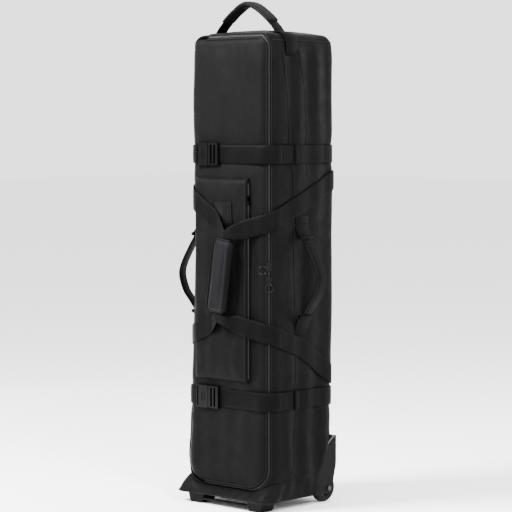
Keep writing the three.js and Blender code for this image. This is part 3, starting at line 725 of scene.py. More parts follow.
def tub_keeps(i, j):
    z = (tub_heights[j] + tub_heights[j + 1]) / 2
    place = tub_place(i + 0.5, z)
    if past_housing(place, z) > 0.006:
        return tub_shares[j] < 0.9 or tub_shares[j + 1] < 0.9
    in_front = i < tub_front
    return not (in_front and lid_bottom - zip_half < z < lid_top + zip_half)


def cloth_uv(i, j):
    return tub_place(i, tub_heights[j]), tub_heights[j]


tub_mesh = sheet_of(tub_front + tub_back, len(tub_heights) - 1, tub_point, tub_keeps, cloth_uv)
tub = finish_piece("tub", tub_mesh, shell_cloth, "case", ["main_shell"])
thicken(tub, 0.0075, inner=lining)
print("the tub has", len(tub.data.polygons), "faces")

# %% [markdown]
# ## The skirt round the base
# Below the zip the cloth is stretched over the flared edge of the base tray. It is a second grid that
# starts on the tub and ends just outside the tray, with small gathers at the front corners.

# %% The skirt
tray_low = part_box("base_tray")[0]
skirt_end = side_start + (housing_front[0][1] - front_y - front_radius) + 0.002
skirt_rows = 12


def skirt_hem(place):
    """The skirt's lower edge, a little outside the tray."""
    point, out = on_case(place)
    run = abs(place)
    wider = along([(0.15, 1.085), (0.30, 1.062)], run)
    forward = along([(0.10, 0.0275), (0.17, 0.024), (0.26, 0.0)], run)
    corner = 0.019 * math.exp(-(((run - 0.146) / 0.03) ** 2))
    return Vector((point.x * wider, point.y - forward, tray_low.z)) + out * corner


def skirt_point(place, t):
    run = abs(place)
    top = along([(0.09, 0.0515), (0.17, 0.078), (0.24, 0.094)], run)
    z = top + (tray_low.z - top) * t
    curve = along([(0.10, 0.6), (0.19, 1.0), (0.24, 1.3)], run)
    start = on_skin(place, top, -0.0016)
    point = start.lerp(skirt_hem(place), t**curve)
    _, out = on_case(place)
    gathers = 0.0022 * math.cos(run * 170 + 3 * t) * 4 * t * (1 - t)
    gathers *= 0.35 + math.exp(-(((run - 0.15) / 0.05) ** 2))
    slow = 0.0025 * noise.noise(Vector((place * 14, z * 20, 3.0))) * smooth(3 * t) * smooth(3 * (1 - t))
    return Vector((point.x, point.y, z)) + out * (gathers + slow)


def skirt_sheet(first, last, columns, point):
    return sheet_of(
        columns,
        skirt_rows,
        lambda i, j: point(first + (last - first) * i / columns, 1 - j / skirt_rows),
        uv_at=lambda i, j: (first + (last - first) * i / columns, j * 0.004),
    )


skirt_mesh = skirt_sheet(-skirt_end, skirt_end, 150, skirt_point)
skirt = finish_piece("base_skirt", skirt_mesh, shell_cloth, "case")
thicken(skirt, 0.0016, offset=1.0)


def back_skirt_point(place, t):
    z = 0.094 + (tray_low.z - 0.094) * t
    wall = on_skin(place, max(z, case_bottom + 0.012), 0.0012)
    return Vector((wall.x, wall.y + 0.002 * t, z))


back_reach = housing_low.x + 0.002
back_mesh = skirt_sheet(half_round - back_reach, half_round + back_reach, 40, back_skirt_point)
back_skirt = finish_piece("base_skirt_back", back_mesh, shell_cloth, "case")
thicken(back_skirt, 0.0016, offset=1.0)

hem_points = [skirt_point(-skirt_end + 2 * skirt_end * k / 160, 1) for k in range(161)]
finish_piece("skirt_hem_piping", swept(hem_points, ring_section(0.0022, 8)), pad_cloth, "case")
print("skirt", [round(v, 3) for v in skirt_hem(0.0)], "to", [round(v, 3) for v in skirt_hem(0.146)])

# %% [markdown]
# ## The lid
# The lid is a padded panel with the same outline, a little smaller all round. It is fuller than the tub
# between the two level straps, and its edge is finished with piping that catches the light.

# %% The lid's skin
lid_rows = wall_rows(zip_half)
lid_columns = 44


def lid_lift(place, z):
    """How much fuller the lid is than the tub's outline, less near its edge."""
    half = opening_half(z, zip_half)
    edge = min(half - abs(place), z - lid_bottom - zip_half, lid_top - zip_half - z)
    full = smooth(edge / 0.045)
    pleats = 0.0013 * math.cos(place * 92 + 2 * noise.noise(Vector((place * 3, z * 4, 0.4))))
    sag = 0.0016 * noise.noise(Vector((place * 11, z * 6, 4.4)))
    return full * (0.0008 + pleats * math.sin(3.4 * z) + sag) - 0.0012 * (1 - smooth(edge / 0.008))


def lid_point(i, j):
    z = lid_rows[j]
    place = opening_half(z, zip_half) * (2 * i / lid_columns - 1)
    return on_skin(place, z, lid_lift(place, z))


def lid_uv(i, j):
    return opening_half(lid_rows[j], zip_half) * (2 * i / lid_columns - 1), lid_rows[j]


lid_mesh = sheet_of(lid_columns, len(lid_rows) - 1, lid_point, uv_at=lid_uv)
lid_cover = finish_piece("lid_cover", lid_mesh, lid_cloth_painted_lighter, "lid", ["lid_panel"])
thicken(lid_cover, 0.0065, inner=lining)
print("the lid has", len(lid_cover.data.polygons), "faces")


# %% Piping and the zip's two tapes
def bead(
    name, path, radius, lift, material, body, sides=8, closed=False, replaces=(), scale=None
):
    """A round cord laid along places and heights on the cloth."""
    points = [on_skin(place, z, lift) for place, z in path]
    outs = [on_case(place)[1] for place, _ in path]
    mesh = swept(points, ring_section(radius, sides), lambda k: outs[k], closed, scale)
    return finish_piece(name, mesh, material, body, replaces)


def tape(name, near, far, lift, material, body):
    """A flat tape between two insets from the zip's middle."""
    inner, outer = opening_path(near, 0.006), opening_path(far, 0.006)
    count = min(len(inner), len(outer))

    def put(i, j):
        p0, z0 = inner[i * (len(inner) - 1) // (count - 1)]
        p1, z1 = outer[i * (len(outer) - 1) // (count - 1)]
        t = j / 3
        return on_skin(p0 + (p1 - p0) * t, z0 + (z1 - z0) * t, lift)

    mesh = sheet_of(count - 1, 3, put, uv_at=lambda i, j: (i * 0.006, j * 0.002))
    made = finish_piece(name, mesh, material, body)
    return thicken(made, 0.0009, offset=0.0)


bead("lid_piping", opening_path(zip_half + 0.0012, 0.006), 0.0022, 0.0002, pad_cloth, "lid")
bead("tub_piping", opening_path(-zip_half - 0.0012, 0.006), 0.0019, 0.0002, pad_cloth, "case")
tape("zip_tape_lid", zip_half + 0.001, 0.0008, -0.0030, zip_tape, "lid")
tape("zip_tape_case", -0.0008, -zip_half - 0.001, -0.0030, zip_tape, "case")
tooth = (1.0, 1.0, 0.45, 0.45)
for half_name, inset, body, node in (
    ("lid", 0.0012, "lid", "zip_lid_half"),
    ("case", -0.0012, "case", "zip_case_half"),
):
    bead(
        f"zip_coil_{half_name}",
        opening_path(inset, 0.0008),
        0.00135,
        -0.0020,
        coil_nylon,
        body,
        sides=6,
        replaces=[node],
        scale=lambda k: (tooth[k % 4], 0.75 + 0.25 * tooth[k % 4]),
    )
print("zip made")

# %% [markdown]
# On the left there is no zip: a strip of cloth joins the lid to the tub, and the lid folds back on it. The
# strip rides on no body, and its placement is baked into its mesh.

# %% The fold on the left
fold_reach = zip_half + 0.003
fold_low, fold_high = lid_bottom + bottom_corner - 0.006, lid_top - top_corner + 0.006


def fold_point(i, j):
    place = -zip_place - fold_reach + 2 * fold_reach * i / 8
    z = fold_low + (fold_high - fold_low) * j / 120
    return on_skin(place, z, -0.0022)


fold_mesh = sheet_of(8, 120, fold_point, uv_at=lambda i, j: (i * 0.002, j * 0.01))
lid_hinge = finish_piece("lid_fold_strip", fold_mesh, shell_cloth, None)
thicken(lid_hinge, 0.0012, offset=0.0)
fold_start = on_case(-zip_place + 0.006)[0] + Vector((0, 0, 0.65))
fold_end = on_case(-zip_place - 0.006)[0] + Vector((0, 0, 0.65))
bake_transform(lid_hinge)
print("fold from", [round(v, 3) for v in fold_start], "to", [round(v, 3) for v in fold_end])

# %% [markdown]
# ## The pocket
# A flat bellows pocket covers the middle of the lid. Its front is a shallow dome drawn in under the
# carrying straps, with a straight gusset on the right that holds its own zip.

# %% The pocket's surface
pocket_low, pocket_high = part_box("pocket_shell")
pocket_deep = front_y - pocket_low.y


def shoulder(distance, reach):
    """A quarter round: 0 at an edge and 1 once past its reach."""
    t = min(max(distance / reach, 0), 1)
    return math.sqrt(1 - (1 - t) ** 2)


def pocket_lift(place, z):
    """How far the pocket's front stands off the case's outline."""
    from_left, from_right = place - pocket_low.x, pocket_high.x - place
    from_low, from_high = z - pocket_low.z, pocket_high.z - z
    if min(from_left, from_right, from_low, from_high) < 0:
        return -1.0
    stands = shoulder(from_left, 0.014) * shoulder(from_low, 0.016) * shoulder(from_high, 0.016)
    inside = smooth(min(from_left, from_right, from_low, from_high) / 0.05)
    side = "left" if place < 0 else "right"
    near = 0.0
    for level in ("upper", "lower"):
        route = haul_height[side, level]
        near = max(near, math.exp(-(((z - straight(route, place)) / 0.042) ** 2)))
    middle = math.exp(-(((z - 0.631) / 0.12) ** 4)) * math.exp(-(((place - 0.011) / 0.05) ** 4))
    dome = 0.0055 * inside * (1 - max(near, middle))
    pleats = 0.0014 * inside * math.cos(place * 120 + 3 * noise.noise(Vector((place * 4, z * 5, 2.0))))
    creases = 0.0022 * inside * noise.noise(Vector((place * 17, z * 11, 6.0)))
    return pocket_deep * stands + dome - 0.001 * inside + pleats * (0.5 + near) + creases


def on_pocket(place, z, lift=0.0):
    point, out = on_case(place)
    return point + Vector((0, 0, z)) + out * (pocket_lift(place, z) + lift)


pocket_across = [0, 0.001, 0.003, 0.006, 0.010, 0.014]
pocket_across += rows_between(0.020, pocket_high.x - pocket_low.x - 0.006, 0.006)
pocket_across += [pocket_high.x - pocket_low.x - 0.006, pocket_high.x - pocket_low.x - 0.002]
gusset_lifts = (-0.0012, -0.0035, -0.008, -0.012, -0.018)
pocket_up = [0, 0.001, 0.003, 0.007, 0.012, 0.017]
pocket_tall = pocket_high.z - pocket_low.z
pocket_up += rows_between(0.024, pocket_tall - 0.017, 0.007)
pocket_up += [pocket_tall - v for v in (0.017, 0.012, 0.007, 0.003, 0.001, 0)]
flat_columns = len(pocket_across)


def pocket_point(i, j):
    z = pocket_low.z + pocket_up[j]
    if i < flat_columns:
        return on_pocket(pocket_low.x + pocket_across[i], z)
    down = gusset_lifts[i - flat_columns]
    lift = max(pocket_lift(pocket_high.x - 0.002, z) + down, 0.0004)
    point, out = on_case(pocket_high.x + 0.0006)
    return point + Vector((0, 0, z)) + out * lift


pocket_mesh = sheet_of(
    flat_columns + len(gusset_lifts) - 1,
    len(pocket_up) - 1,
    pocket_point,
    uv_at=lambda i, j: (i * 0.006, pocket_up[j]),
)
pocket_cover = finish_piece("pocket_cover", pocket_mesh, pocket_cloth, "lid", ["pocket_shell"])
thicken(pocket_cover, 0.0018)
pocket_rows = rows_between(pocket_low.z + 0.012, pocket_high.z - 0.012, 0.006)
edge_points = [on_pocket(pocket_high.x - 0.001, z, 0.0006) for z in pocket_rows]
edge_mesh = swept(edge_points, ring_section(0.0016, 8), Vector((0, -1, 0)))
finish_piece("pocket_edge_piping", edge_mesh, pad_cloth, "lid")
print("pocket stands", round(1000 * pocket_deep, 1), "mm off the lid")

# %% The pocket's zip
pocket_zip_low, pocket_zip_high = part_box("pocket_zip")
zip_x = pocket_high.x + 0.0014
zip_y = (pocket_zip_low.y + pocket_zip_high.y) / 2
coil_rows = rows_between(pocket_zip_low.z, pocket_zip_high.z, 0.0009)
for name, shift in (("front", -0.0012), ("rear", 0.0012)):
    points = [Vector((zip_x, zip_y + shift, z)) for z in coil_rows]
    mesh = swept(points, ring_section(0.0013, 6), Vector((1, 0, 0)), scale=lambda k: (tooth[k % 4], 0.8))
    finish_piece(f"pocket_coil_{name}", mesh, coil_nylon, "lid", ["pocket_zip"])
tape_mesh = bmesh.new()
add_block(
    tape_mesh,
    (pocket_high.x + 0.0002, zip_y - 0.0066, pocket_zip_low.z - 0.004),
    (pocket_high.x + 0.0012, zip_y + 0.0066, pocket_zip_high.z + 0.004),
    0.0003,
)
finish_piece("pocket_zip_tape", tape_mesh, zip_tape, "lid", rounded=False)

# %% The blank patch
patch_low, patch_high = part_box("blank_patch")


def patch_point(i, j, lift=0.0004):
    place = patch_low.x + (patch_high.x - patch_low.x) * i / 20
    return on_pocket(place, patch_low.z + (patch_high.z - patch_low.z) * j / 20, lift)


patch_mesh = sheet_of(20, 20, patch_point)
patch = finish_piece("blank_patch_rubber", patch_mesh, patch_rubber, "lid", ["blank_patch"], False)
thicken(patch, 0.0022, offset=1.0)
patch_edge = patch.modifiers.new("edge", "BEVEL")
patch_edge.width = 0.0007
patch_edge.segments = 2
border = [(2 + 16 * t, 2) for t in (0, 0.25, 0.5, 0.75)] + [(18, 2 + 16 * t) for t in (0, 0.25, 0.5, 0.75)]
border += [(20 - a, 20 - b) for a, b in border]
border_points = [patch_point(a, b, 0.0027) for a, b in border]
border_mesh = swept(border_points, ring_section(0.0007, 6), Vector((0, -1, 0)), closed=True)
finish_piece("patch_border", border_mesh, patch_rubber, "lid")
print("patch", round(1000 * (patch_high.x - patch_low.x)), "mm wide")

# %% [markdown]
# ## Webbing
# Every strap is a grid laid on the surface below it, given 2 mm of thickness. Where a strap crosses from
# the lid to the tub, or starts to hang loose, it rides on no body and its placement is baked into its mesh.


# %% A helper for straps on the case
def surface(place, z):
    """The outermost cloth at a place and height."""
    return max(swell(place, z) + 0.001, pocket_lift(place, z))


def ribbon(name, body, replaces, start, end, height, lift=0.0012, width=0.050, thick=0.002, material=None):
    """A strap on the case between two places. height, lift and width are numbers or keys over places."""
    columns = max(round((end - start) / 0.006), 2)

    def value(keys, place, rule=straight):
        return rule(keys, place) if isinstance(keys, list) else keys

    def put(i, j):
        place = start + (end - start) * i / columns
        slope = (value(height, place + 0.004) - value(height, place - 0.004)) / 0.008
        middle = value(height, place)
        half = value(width, place) / 2 * math.hypot(1, slope)
        z = middle + half * (2 * j / 6 - 1)
        under = max(surface(place, middle + half * s) for s in (-0.7, -0.2, 0.4, 0.9))
        bow = 0.0006 * (1 - (2 * j / 6 - 1) ** 2)
        point, out = on_case(place)
        return point + Vector((0, 0, z)) + out * (max(value(lift, place), under + 0.0006) + bow)

    mesh = sheet_of(columns, 6, put, uv_at=lambda i, j: (start + (end - start) * i / columns, j * 0.0083))
    made = finish_piece(name, mesh, material or strap_webbing, body, replaces)
    thicken(made, thick, offset=1.0)
    edge = made.modifiers.new("edge", "BEVEL")
    edge.width = 0.0005
    edge.segments = 1
    edge.limit_method = "ANGLE"
    return made


def spot(place, z):
    return tuple(on_case(place)[0] + Vector((0, 0, z)))


# %% The two level straps
hinge_gap = 0.007
swing_place = side_start + 0.003
tail_end = side_start + 0.066
buckle_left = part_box("upper_buckle_socket")[0].x
buckle_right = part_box("upper_buckle_plug")[1].x
for level in ("upper", "lower"):
    z = strap_height[level]
    body = f"{level}_strap"
    round_back = 2 * half_round - zip_place - hinge_gap
    ribbon(f"{level}_band", "case", [f"{level}_strap_band"], swing_place + 0.001, round_back, z)
    from_fold, to_buckle = -zip_place - hinge_gap - 0.0005, buckle_left + 0.005
    left_end = ribbon(f"{level}_short_end", None, [f"{level}_strap_short"], from_fold, to_buckle, z)
    spot(-zip_place + 0.006, z)
    spot(-zip_place - 0.006, z)
    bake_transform(left_end)
    long_end = ribbon(
        f"{level}_long_end", None, [f"{level}_strap_long"], buckle_right - 0.004, swing_place + 0.003, z
    )
    spot(swing_place - 0.004, z)
    spot(swing_place + 0.002, z)
    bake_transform(long_end)
    second = [(buckle_right, 0.0036), (0.10, 0.0042), (zip_place, 0.0062), (swing_place, 0.0042)]
    tail_from, tail_to = buckle_right - 0.003, swing_place + 0.003
    tail = ribbon(f"{level}_long_tail", None, [], tail_from, tail_to, z, second, 0.049)
    spot(swing_place - 0.004, z)
    spot(swing_place + 0.002, z)
    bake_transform(tail)
    ribbon(f"{level}_tail_end", "case", [], swing_place + 0.002, tail_end, z, 0.0042, 0.049)
    ribbon(f"{level}_tail_hem", "case", [], tail_end - 0.012, tail_end + 0.001, z, 0.0062, 0.051, 0.003)
print("level straps at", {k: round(v, 3) for k, v in strap_height.items()})

# %% The carrying straps
bulge = pocket_deep + 0.0022
right_lift = [(0.086, bulge), (0.110, 0.007), (zip_place, 0.004), (swing_place + 0.012, 0.0028)]
left_lift = [(-0.140, 0.0028), (-0.127, 0.0034), (-0.1186, 0.014), (-0.103, bulge)]
carrying = {
    ("right", "upper"): (
        [(0.0505, 0.0425), (0.076, bulge + 0.004), *right_lift],
        [(0.0275, 0.022), (0.080, 0.05)],
    ),
    ("right", "lower"): (
        [(0.0245, 0.0425), (0.0585, bulge + 0.004), *right_lift],
        [(-0.0025, 0.022), (0.0305, 0.026), (0.0585, 0.05)],
    ),
    ("left", "upper"): (
        [*left_lift, (-0.0195, bulge), (0.0225, 0.038)],
        [(-0.0275, 0.05), (0.0225, 0.022)],
    ),
    ("left", "lower"): (
        [*left_lift, (-0.0435, bulge), (-0.0055, 0.038)],
        [(-0.0455, 0.05), (-0.0055, 0.022)],
    ),
}
for (side, level), (lift, width) in carrying.items():
    keys = haul_height[side, level]
    name = f"carry_{side}_{level}"
    if side == "right":
        begin, finish = keys[0][0] - 0.003, swing_place + 0.003
        bodies, points = ("haul_strap", "case"), (swing_place - 0.004, swing_place + 0.002)
        band_from, band_to = swing_place + 0.001, keys[-1][0]
    else:
        begin, finish = -zip_place - hinge_gap - 0.0005, keys[-1][0] + 0.003
        bodies, points = ("lid", "case"), (-zip_place + 0.006, -zip_place - 0.006)
        band_from, band_to = keys[0][0], -zip_place - hinge_gap
    front_node = [f"haul_strap_{side}"]
    leg = ribbon(name, None, front_node, begin, finish, keys, lift, width, material=haul_webbing)
    height = straight(keys, points[0])
    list(bodies)
    spot(points[0], height)
    spot(points[1], height)
    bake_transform(leg)
    node = [f"haul_band_{side}_{level}"]
    ribbon(f"{name}_band", "case", node, band_from, band_to, keys, 0.0028, material=haul_webbing)
print("carrying straps made")

# %% [markdown]
# ## Buckles
# A side-release buckle is a socket, a plug and two squeeze arms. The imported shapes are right, so each is
# copied, cleaned of its loose triangles and given soft moulded edges.

# %% Buckles
for level in ("upper", "lower"):
    softened(f"{level}_buckle_socket", acetal, "lid", 0.0014)
    softened(f"{level}_buckle_plug", acetal, f"{level}_strap", 0.0010)
    for side in ("top", "bottom"):
        softened(f"{level}_release_arm_{side}", acetal, f"{level}_arm_{side}", 0.0012)
    low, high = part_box(f"{level}_buckle_socket")
    grip_mesh = bmesh.new()
    for k in range(3):
        x = low.x + 0.019 + 0.006 * k
        rib_low = (x, low.y - 0.0010, low.z + 0.018)
        rib_high = (x + 0.0025, low.y + 0.001, high.z - 0.018)
        add_block(grip_mesh, rib_low, rib_high, 0.0006)
    finish_piece(f"{level}_buckle_ribs", grip_mesh, acetal, "lid", rounded=False)
print("buckle socket", [round(side, 3) for side in high - low], "m")

# %% [markdown]
# ## Padded pieces
# The grip wrap, the handle's sleeve and the pad under the top are foam in cloth. Each starts as a rounded
# block, is remeshed finely and blown up a little by Blender's cloth, so the sides swell and the ends draw in.


# %% A helper for padding
def plump(name, bm, material, body, replaces, pressure=4.0, most=0.006):
    """Inflates a closed shape as cloth, then keeps the result."""
    made = finish_piece(name, bm, material, body, replaces)
    bpy.context.view_layer.update()
    mesh_to_blow = made.data.copy()
    blown = bpy.data.objects.new("blown", mesh_to_blow)
    scene.collection.objects.link(blown)
    remesh = blown.modifiers.new("remesh", "REMESH")
    remesh.mode = "VOXEL"
    remesh.voxel_size = 0.004
    bpy.context.view_layer.objects.active = blown
    bpy.ops.object.select_all(action="DESELECT")
    blown.select_set(True)
    bpy.ops.object.modifier_apply(modifier="remesh")
    before = [v.co.copy() for v in blown.data.vertices]
    cloth = blown.modifiers.new("cloth", "CLOTH")
    cloth.settings.use_pressure = True
    cloth.settings.uniform_pressure_force = pressure
    cloth.settings.quality = 6
    cloth.settings.tension_stiffness = 25
    cloth.settings.bending_stiffness = 1.5
    cloth.settings.effector_weights.gravity = 0
    for frame_number in range(1, 21):
        scene.frame_set(frame_number)
    evaluated = blown.evaluated_get(bpy.context.evaluated_depsgraph_get())
    after = [v.co.copy() for v in evaluated.data.vertices]
    blown.modifiers.clear()
    for vert, start, end in zip(blown.data.vertices, before, after):
        move = end - start
        if move.length > most:
            move *= most / move.length
        vert.co = start + move
    scene.frame_set(1)
    shaped = bmesh.new()
    shaped.from_mesh(blown.data)
    every_axis = dict(use_axis_x=True, use_axis_y=True, use_axis_z=True)
    bmesh.ops.smooth_vert(shaped, verts=shaped.verts, factor=0.5, **every_axis)
    shaped.to_mesh(made.data)
    shaped.free()
    made.data.polygons.foreach_set("use_smooth", [True] * len(made.data.polygons))
    bpy.data.objects.remove(blown)
    finer = made.modifiers.new("finer", "SUBSURF")
    finer.levels = finer.render_levels = 1
    return made


# %% The grip wrap
wrap_low, wrap_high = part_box("grip_wrap")
wrap_middle = (wrap_low + wrap_high) / 2
wrap_tilt = Matrix.Rotation(math.radians(8.4), 4, "Y")
wrap_size = Vector((0.060, 0.0225, 0.196))
wrap_place = Matrix.Translation(wrap_middle) @ wrap_tilt


def pad_block(place, size, edge, cuts=5):
    bm = bmesh.new()
    bmesh.ops.create_cube(bm, size=1, matrix=place @ Matrix.Diagonal((*size, 1)))
    bmesh.ops.bevel(bm, geom=bm.edges[:], offset=edge, segments=4, profile=0.5, affect="EDGES", material=-1)
    long_edges = [e for e in bm.edges if e.calc_length() > 0.02]
    bmesh.ops.subdivide_edges(bm, edges=long_edges, cuts=cuts, use_grid_fill=True)
    return bm


wrap_block = pad_block(wrap_place, wrap_size, 0.008)
plump("grip_wrap_pad", wrap_block, pad_cloth, "lid", ["grip_wrap"], most=0.005)


def on_wrap(x, y, z):
    return wrap_place @ Vector((x, y, z))


half_w, half_h, front = wrap_size.x / 2, wrap_size.z / 2, -wrap_size.y / 2
loop = [(-0.020, half_h - 0.004), (-0.026, half_h - 0.010), (-0.0275, 0.05), (-0.0275, -0.05)]
loop += [(-0.026, -half_h + 0.010), (-0.020, -half_h + 0.004)]
trim_path = centripetal([on_wrap(x, front - 0.0022, z) for x, z in loop], 60)
trim_mesh = swept(trim_path, ring_section(0.0017, 8), Vector((0, -1, 0)))
finish_piece("grip_wrap_piping", trim_mesh, strap_webbing, "lid")


def flap_point(i, j):
    across, up = half_w - 0.010 + 0.0065 * i, -half_h + 0.008 + (wrap_size.z - 0.016) * j / 24
    return on_wrap(across, front - 0.0026 - 0.0008 * i, up)


flap_mesh = sheet_of(2, 24, flap_point)
flap = finish_piece("grip_wrap_flap", flap_mesh, pad_cloth, "lid")
thicken(flap, 0.0018, offset=1.0)
for name, level in (("top", half_h), ("bottom", -half_h)):
    end_path = [on_wrap(x, front * 0.2 - 0.0008, level) for x in (-0.024, -0.012, 0, 0.012, 0.024)]
    finish_piece(f"grip_wrap_binding_{name}", swept(end_path, ring_section(0.0030, 8)), pad_cloth, "lid")
print("wrap", [round(v, 3) for v in wrap_size])

# %% The pad under the top and the board at the back
top_low, top_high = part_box("top_pad")
top_place = Matrix.Translation((top_low + top_high) / 2)
top_size = (top_high - top_low) - Vector((0.006, 0.006, 0.004))
plump("top_pad_foam", pad_block(top_place, top_size, 0.006, 7), lining, "case", ["top_pad"], most=0.003)
softened("back_board", lining, "case", 0.0010)

# %% [markdown]
# ## Handles
# The top handle is a strap that arches between two anchors on the rounded top edges, with a padded sleeve.
# The side handles are plain doubled webbing held in folded tabs.

# %% The top handle
strap_low, strap_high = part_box("top_handle_strap")
handle_y = (strap_low.y + strap_high.y) / 2
half_arch = [(0.046, 1.343), (0.092, 1.306), (0.112, 1.285)]
arch = [*[(-x, z) for x, z in reversed(half_arch)], (0, 1.364), *half_arch]
arch_points = centripetal([(x, handle_y, z) for x, z in arch], 60)


def flat_section(width, thick, edge=0.0007):
    """A flat strap's section with eased corners."""
    w, t = width / 2, thick / 2
    lower = [(-w, -t + edge), (-w + edge, -t), (0, -t), (w - edge, -t), (w, -t + edge)]
    return lower + [(w, t - edge), (w - edge, t), (0, t), (-w + edge, t), (-w, t - edge)]


def across_strap(points, width_direction):
    """The strap's own up direction at each point, square to its run and its width."""
    directions = []
    for k in range(len(points)):
        run = points[min(k + 1, len(points) - 1)] - points[max(k - 1, 0)]
        directions.append(width_direction.cross(run).normalized())
    return lambda k: directions[k]


backward = Vector((0, 1, 0))
top_strap = swept(arch_points, flat_section(0.038, 0.0032), across_strap(arch_points, backward))
top_webbing = finish_piece(
    "top_handle_webbing", top_strap, strap_webbing, None, ["top_handle_strap"]
)
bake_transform(top_webbing)
sleeve_points = arch_points[12:49]


def flattened(wave, power):
    """A cosine or sine made squarer by a power below 1."""
    return math.copysign(abs(wave) ** power, wave)


sleeve_section = [
    (0.0245 * flattened(math.cos(a), 0.6), 0.0062 * flattened(math.sin(a), 0.7))
    for a in (2 * math.pi * k / 20 for k in range(20))
]
sleeve_mesh = swept(
    sleeve_points,
    sleeve_section,
    across_strap(sleeve_points, backward),
    scale=lambda k: (1, 0.75 + 0.25 * math.sin(math.pi * k / 36) ** 0.4),
)
plump("top_handle_sleeve", sleeve_mesh, pad_cloth, "top_handle", ["top_handle_grip"], most=0.0025)
for name, side in (("left", -1), ("right", 1)):
    corner_centre = Vector((half_width - edge_round, handle_y, case_top - edge_round))
    reach = edge_round + 0.0042
    wall_x, edge_z = half_width + 0.0042, case_top - edge_round
    route = [Vector((wall_x, handle_y, edge_z - drop)) for drop in (0.030, 0.018, 0.008)]
    route += [
        corner_centre + Vector((math.cos(a), 0, math.sin(a))) * reach
        for a in (math.radians(90 * k / 8) for k in range(9))
    ]
    route += [Vector((x, handle_y, case_top + 0.0046)) for x in (0.113, 0.104, 0.095)]
    route = [Vector((side * p.x, p.y, p.z)) for p in route]
    mesh = swept(route, flat_section(0.046, 0.0030), across_strap(route, backward))
    anchor_node = [f"top_handle_anchor_{name}"]
    finish_piece(f"top_anchor_{name}", mesh, strap_webbing, "case", anchor_node)
print("top handle", round(strap_high.z - case_top, 3), "m above the case")

# %% The side handles
bow_shape = [(0.11, 0.727), (0.45, 0.697), (0.86, 0.655), (1, 0.622)]  # share of the bow, height
bow_shape += [(0.77, 0.580), (0.41, 0.552), (0.11, 0.529)]
side_handles = {"right": (1, 0.0125, 0, 0.018, 0.056), "left": (-1, -0.0455, 45, 0.028, 0.046)}
top_fold, bottom_fold = 0.735, 0.521
for name, (side, y, lean, fold_out, bow) in side_handles.items():
    lean = math.radians(lean)
    out = Vector((side * math.cos(lean), -math.sin(lean), 0))
    turned = lean * 1.6 if side > 0 else lean * 0.4
    along_width = Vector((side * math.sin(turned), math.cos(turned), 0))
    foot = Vector((side * (half_width + fold_out), y, 0))
    path = centripetal([foot + out * (share * bow) + Vector((0, 0, z)) for share, z in bow_shape], 60)
    mesh = swept(path, flat_section(0.038, 0.0034), across_strap(path, along_width))
    body = f"{name}_handle"
    finish_piece(f"{name}_handle_webbing", mesh, strap_webbing, body, [f"{name}_handle_strap"])
    for face in (-1, 1):
        ups = across_strap(path, along_width)
        for shift in (-0.0155, 0.0155):
            row = [p + along_width * shift + ups(k) * (0.0018 * face) for k, p in enumerate(path)][3:-3]
            where = f"{name}_stitch_{'in' if face < 0 else 'out'}_{'front' if shift < 0 else 'back'}"
            finish_piece(where, swept(row, ring_section(0.0004, 5)), thread_finish, body)
    for level, begin, fold_z in (("upper", 0.792, top_fold), ("lower", 0.470, bottom_fold)):
        drop = 1 if fold_z > begin else -1
        wall = half_width + swell(side * (side_start + y - front_y - front_radius), begin)
        route = [(wall + 0.0012, begin), (wall + 0.0012, begin + 0.02 * drop)]
        route += [(half_width + 0.0030, fold_z - 0.036 * drop)]
        route += [(half_width + fold_out * 0.36, fold_z - 0.021 * drop), (half_width + fold_out, fold_z)]
        tab_path = centripetal([(side * x, y, z) for x, z in route], 30)
        mesh = swept(tab_path, flat_section(0.051, 0.0030), across_strap(tab_path, backward))
        node = f"{name}_handle_tab_{level}"
        finish_piece(f"{node}_webbing", mesh, strap_webbing, "case", [node])
        roll = bmesh.new()
        fold_at = Matrix.Translation((side * (half_width + fold_out), y, fold_z))
        turn = fold_at @ Matrix.Rotation(math.pi / 2, 4, "X")
        bmesh.ops.create_cone(
            roll, cap_ends=True, segments=20, radius1=0.0052, radius2=0.0052, depth=0.052, matrix=turn
        )
        caps = [e for e in roll.edges if abs((e.verts[0].co - e.verts[1].co).y) < 0.001]
        bmesh.ops.bevel(
            roll, geom=caps, offset=0.0015, segments=2, profile=0.5, affect="EDGES", material=-1
        )
        finish_piece(f"{node}_fold", roll, strap_webbing, "case")
print("side handles", list(side_handles))

# %% [markdown]
# ## Zip sliders and pulls
# The sliders are small plated castings, and each carries a ring on a link. They are rounded copies of the
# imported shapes, because the ring has to hang exactly where its hinge is.

# %% Sliders and pulls
for level in ("upper", "lower"):
    softened(f"main_zip_{level}_slider", gunmetal, f"main_slider_{level}", 0.0007)
    softened(f"main_zip_{level}_pull", gunmetal, f"main_pull_{level}", 0.0005)
softened("pocket_slider", gunmetal, "pocket_slider_body", 0.0006)
softened("pocket_pull", gunmetal, "pocket_pull_body", 0.0004)

# %% [markdown]
# Inside the case each wheel is hidden under a small lined box, which closes the corner where the housing
# cuts into the cloth. It is three stiff boards covered with the lining: beside, in front and on top.

# %% The wheel boxes
box_inner, box_outer, box_front, box_back = housing_low.x - 0.006, 0.1425, 0.0585, 0.1435
for name, side in (("left", -1), ("right", 1)):
    box_mesh = bmesh.new()
    for near, far, front, low in (
        (box_inner, box_inner + 0.0018, box_front, 0.037),
        (box_inner, box_outer, box_front + 0.0003, 0.1851),
    ):
        reach = sorted((side * near, side * far))
        add_block(box_mesh, (reach[0], front, low), (reach[1], box_back, 0.1868), 0.0007)
    reach = sorted((side * (box_inner + 0.0004), side * box_outer))
    add_block(box_mesh, (reach[0], box_front, 0.037), (reach[1], box_front + 0.0018, 0.1860), 0.0007)
    finish_piece(f"wheel_box_{name}", box_mesh, lining, "case")
print("two wheel boxes, each", round(box_outer - box_inner, 4), "wide")
